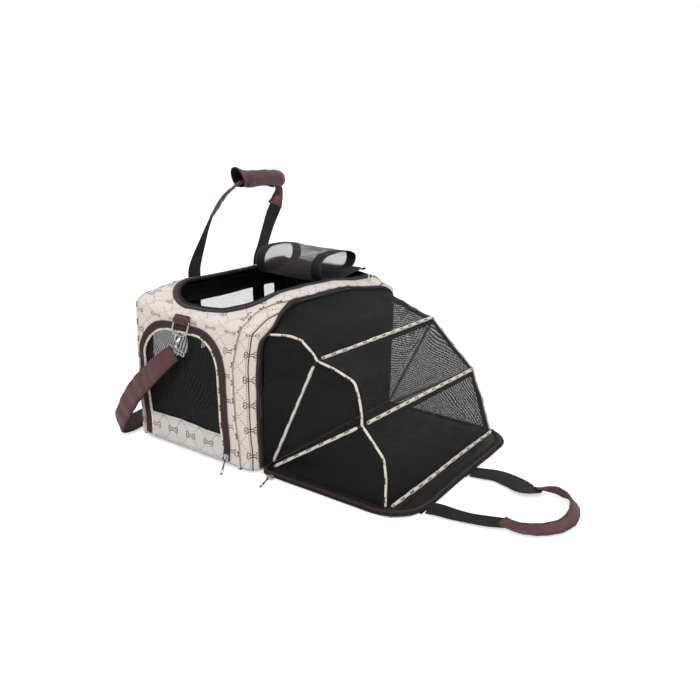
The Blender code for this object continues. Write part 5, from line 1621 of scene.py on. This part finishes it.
def settle(mat, low):
    """Lets the mat puff up and come to rest on the board, as cloth."""
    scene = bpy.context.scene
    board = made("board_top", [(-0.3, -0.2, low.z - 0.0008), (0.3, -0.2, low.z - 0.0008), (0.3, 0.2, low.z - 0.0008), (-0.3, 0.2, low.z - 0.0008)], [(0, 1, 2, 3)], [BOARD], None, "board")
    board.modifiers.new("collision", "COLLISION")
    board.collision.thickness_outer = 0.0008
    cloth = mat.modifiers.new("cloth", "CLOTH")
    settings = cloth.settings
    settings.quality, settings.mass, settings.use_pressure = 6, 0.15, True
    settings.uniform_pressure_force = 1.6
    settings.tension_stiffness = settings.compression_stiffness = 25
    settings.bending_stiffness = 1.5
    cloth.collision_settings.use_self_collision = False
    cloth.collision_settings.distance_min = 0.0006
    frames = 18
    cloth.point_cache.frame_start, cloth.point_cache.frame_end = 1, frames
    scene.frame_start, scene.frame_end = 1, frames
    for step in range(1, frames + 1):
        scene.frame_set(step)
    settled = bpy.data.meshes.new_from_object(mat.evaluated_get(bpy.context.evaluated_depsgraph_get()))
    spots = np.array([v.co for v in settled.vertices])
    mat.modifiers.remove(cloth)
    flat_low, flat_high = corners("floor_mat")
    spots = np.clip(spots, np.array(flat_low) - (0, 0, 0.0002), np.array(flat_high) + (0, 0, 0.004))
    for vertex, spot in zip(mat.data.vertices, spots):
        vertex.co = spot
    bpy.data.meshes.remove(settled)
    bpy.data.objects.remove(board)
    scene.frame_set(1)


floor_mat()


# ---------------------------------------------------------------- floor, light and camera
def stage():
    floor_shader = Shader("floor")
    grain = floor_shader.noise(5.0, 2.0)
    shade = floor_shader.mix(grain, (0.84, 0.84, 0.84), (0.88, 0.88, 0.88))
    eye_ray = floor_shader.node("ShaderNodeLightPath").outputs["Is Camera Ray"]
    glow = Value(floor_shader, eye_ray) * 0.60
    white = floor_shader.finish(Base_Color=shade, Roughness=0.85, Emission_Color=(1.0, 1.0, 1.0), Emission_Strength=glow)
    points = [(-9, -9, 0), (9, -9, 0), (9, 9, 0), (-9, 9, 0)]
    floor = made("studio_floor", points, [(0, 1, 2, 3)], [white], None, "board")
    world = bpy.data.worlds.new("studio")
    bpy.context.scene.world = world
    world.use_nodes = True
    nodes, links = world.node_tree.nodes, world.node_tree.links
    sky = nodes["Background"]
    sky.inputs[0].default_value = (1, 1, 1, 1)
    ray, level = nodes.new("ShaderNodeLightPath"), nodes.new("ShaderNodeMapRange")
    links.new(ray.outputs["Is Camera Ray"], level.inputs["Value"])
    level.inputs["To Min"].default_value, level.inputs["To Max"].default_value = 0.60, 1.0
    links.new(level.outputs[0], sky.inputs[1])
    lights = [((-1.9, -1.2, 2.3), 27, 1.2), ((1.4, -1.8, 2.4), 7, 2.0), ((0.2, 1.9, 2.2), 9, 2.0)]
    for number, (where, power, size) in enumerate(lights):
        data = bpy.data.lights.new(f"softbox_{number}", "AREA")
        data.energy, data.shape, data.size = power, "DISK", size
        lamp = bpy.data.objects.new(data.name, data)
        lamp.matrix_world = Matrix.Translation(where) @ (Vector((0, -0.05, 0.12)) - Vector(where)).to_track_quat("-Z", "Y").to_matrix().to_4x4()
        bpy.context.scene.collection.objects.link(lamp)
    bpy.context.scene.view_settings.view_transform = "Standard"


stage()


def camera():
    """The eye of the picture: its place, and its turn by azimuth, height and roll."""
    azimuth, elevation, roll = (math.radians(a) for a in (-56.2166, 16.7675, 1.8499))
    back = Vector((math.sin(azimuth) * math.cos(elevation), -math.cos(azimuth) * math.cos(elevation), math.sin(elevation)))
    right = (-back).cross(Vector((0, 0, 1))).normalized()
    up = right.cross(-back)
    turned = right * math.cos(roll) + up * math.sin(roll), up * math.cos(roll) - right * math.sin(roll)
    data = bpy.data.cameras.new("eye")
    data.lens, data.sensor_width = 36.92, 36
    eye = bpy.data.objects.new("eye", data)
    eye.matrix_world = Matrix.Translation((-1.0591, -0.8920, 0.5650)) @ Matrix((turned[0], turned[1], back)).transposed().to_4x4()
    bpy.context.scene.collection.objects.link(eye)
    bpy.context.scene.camera = eye


camera()
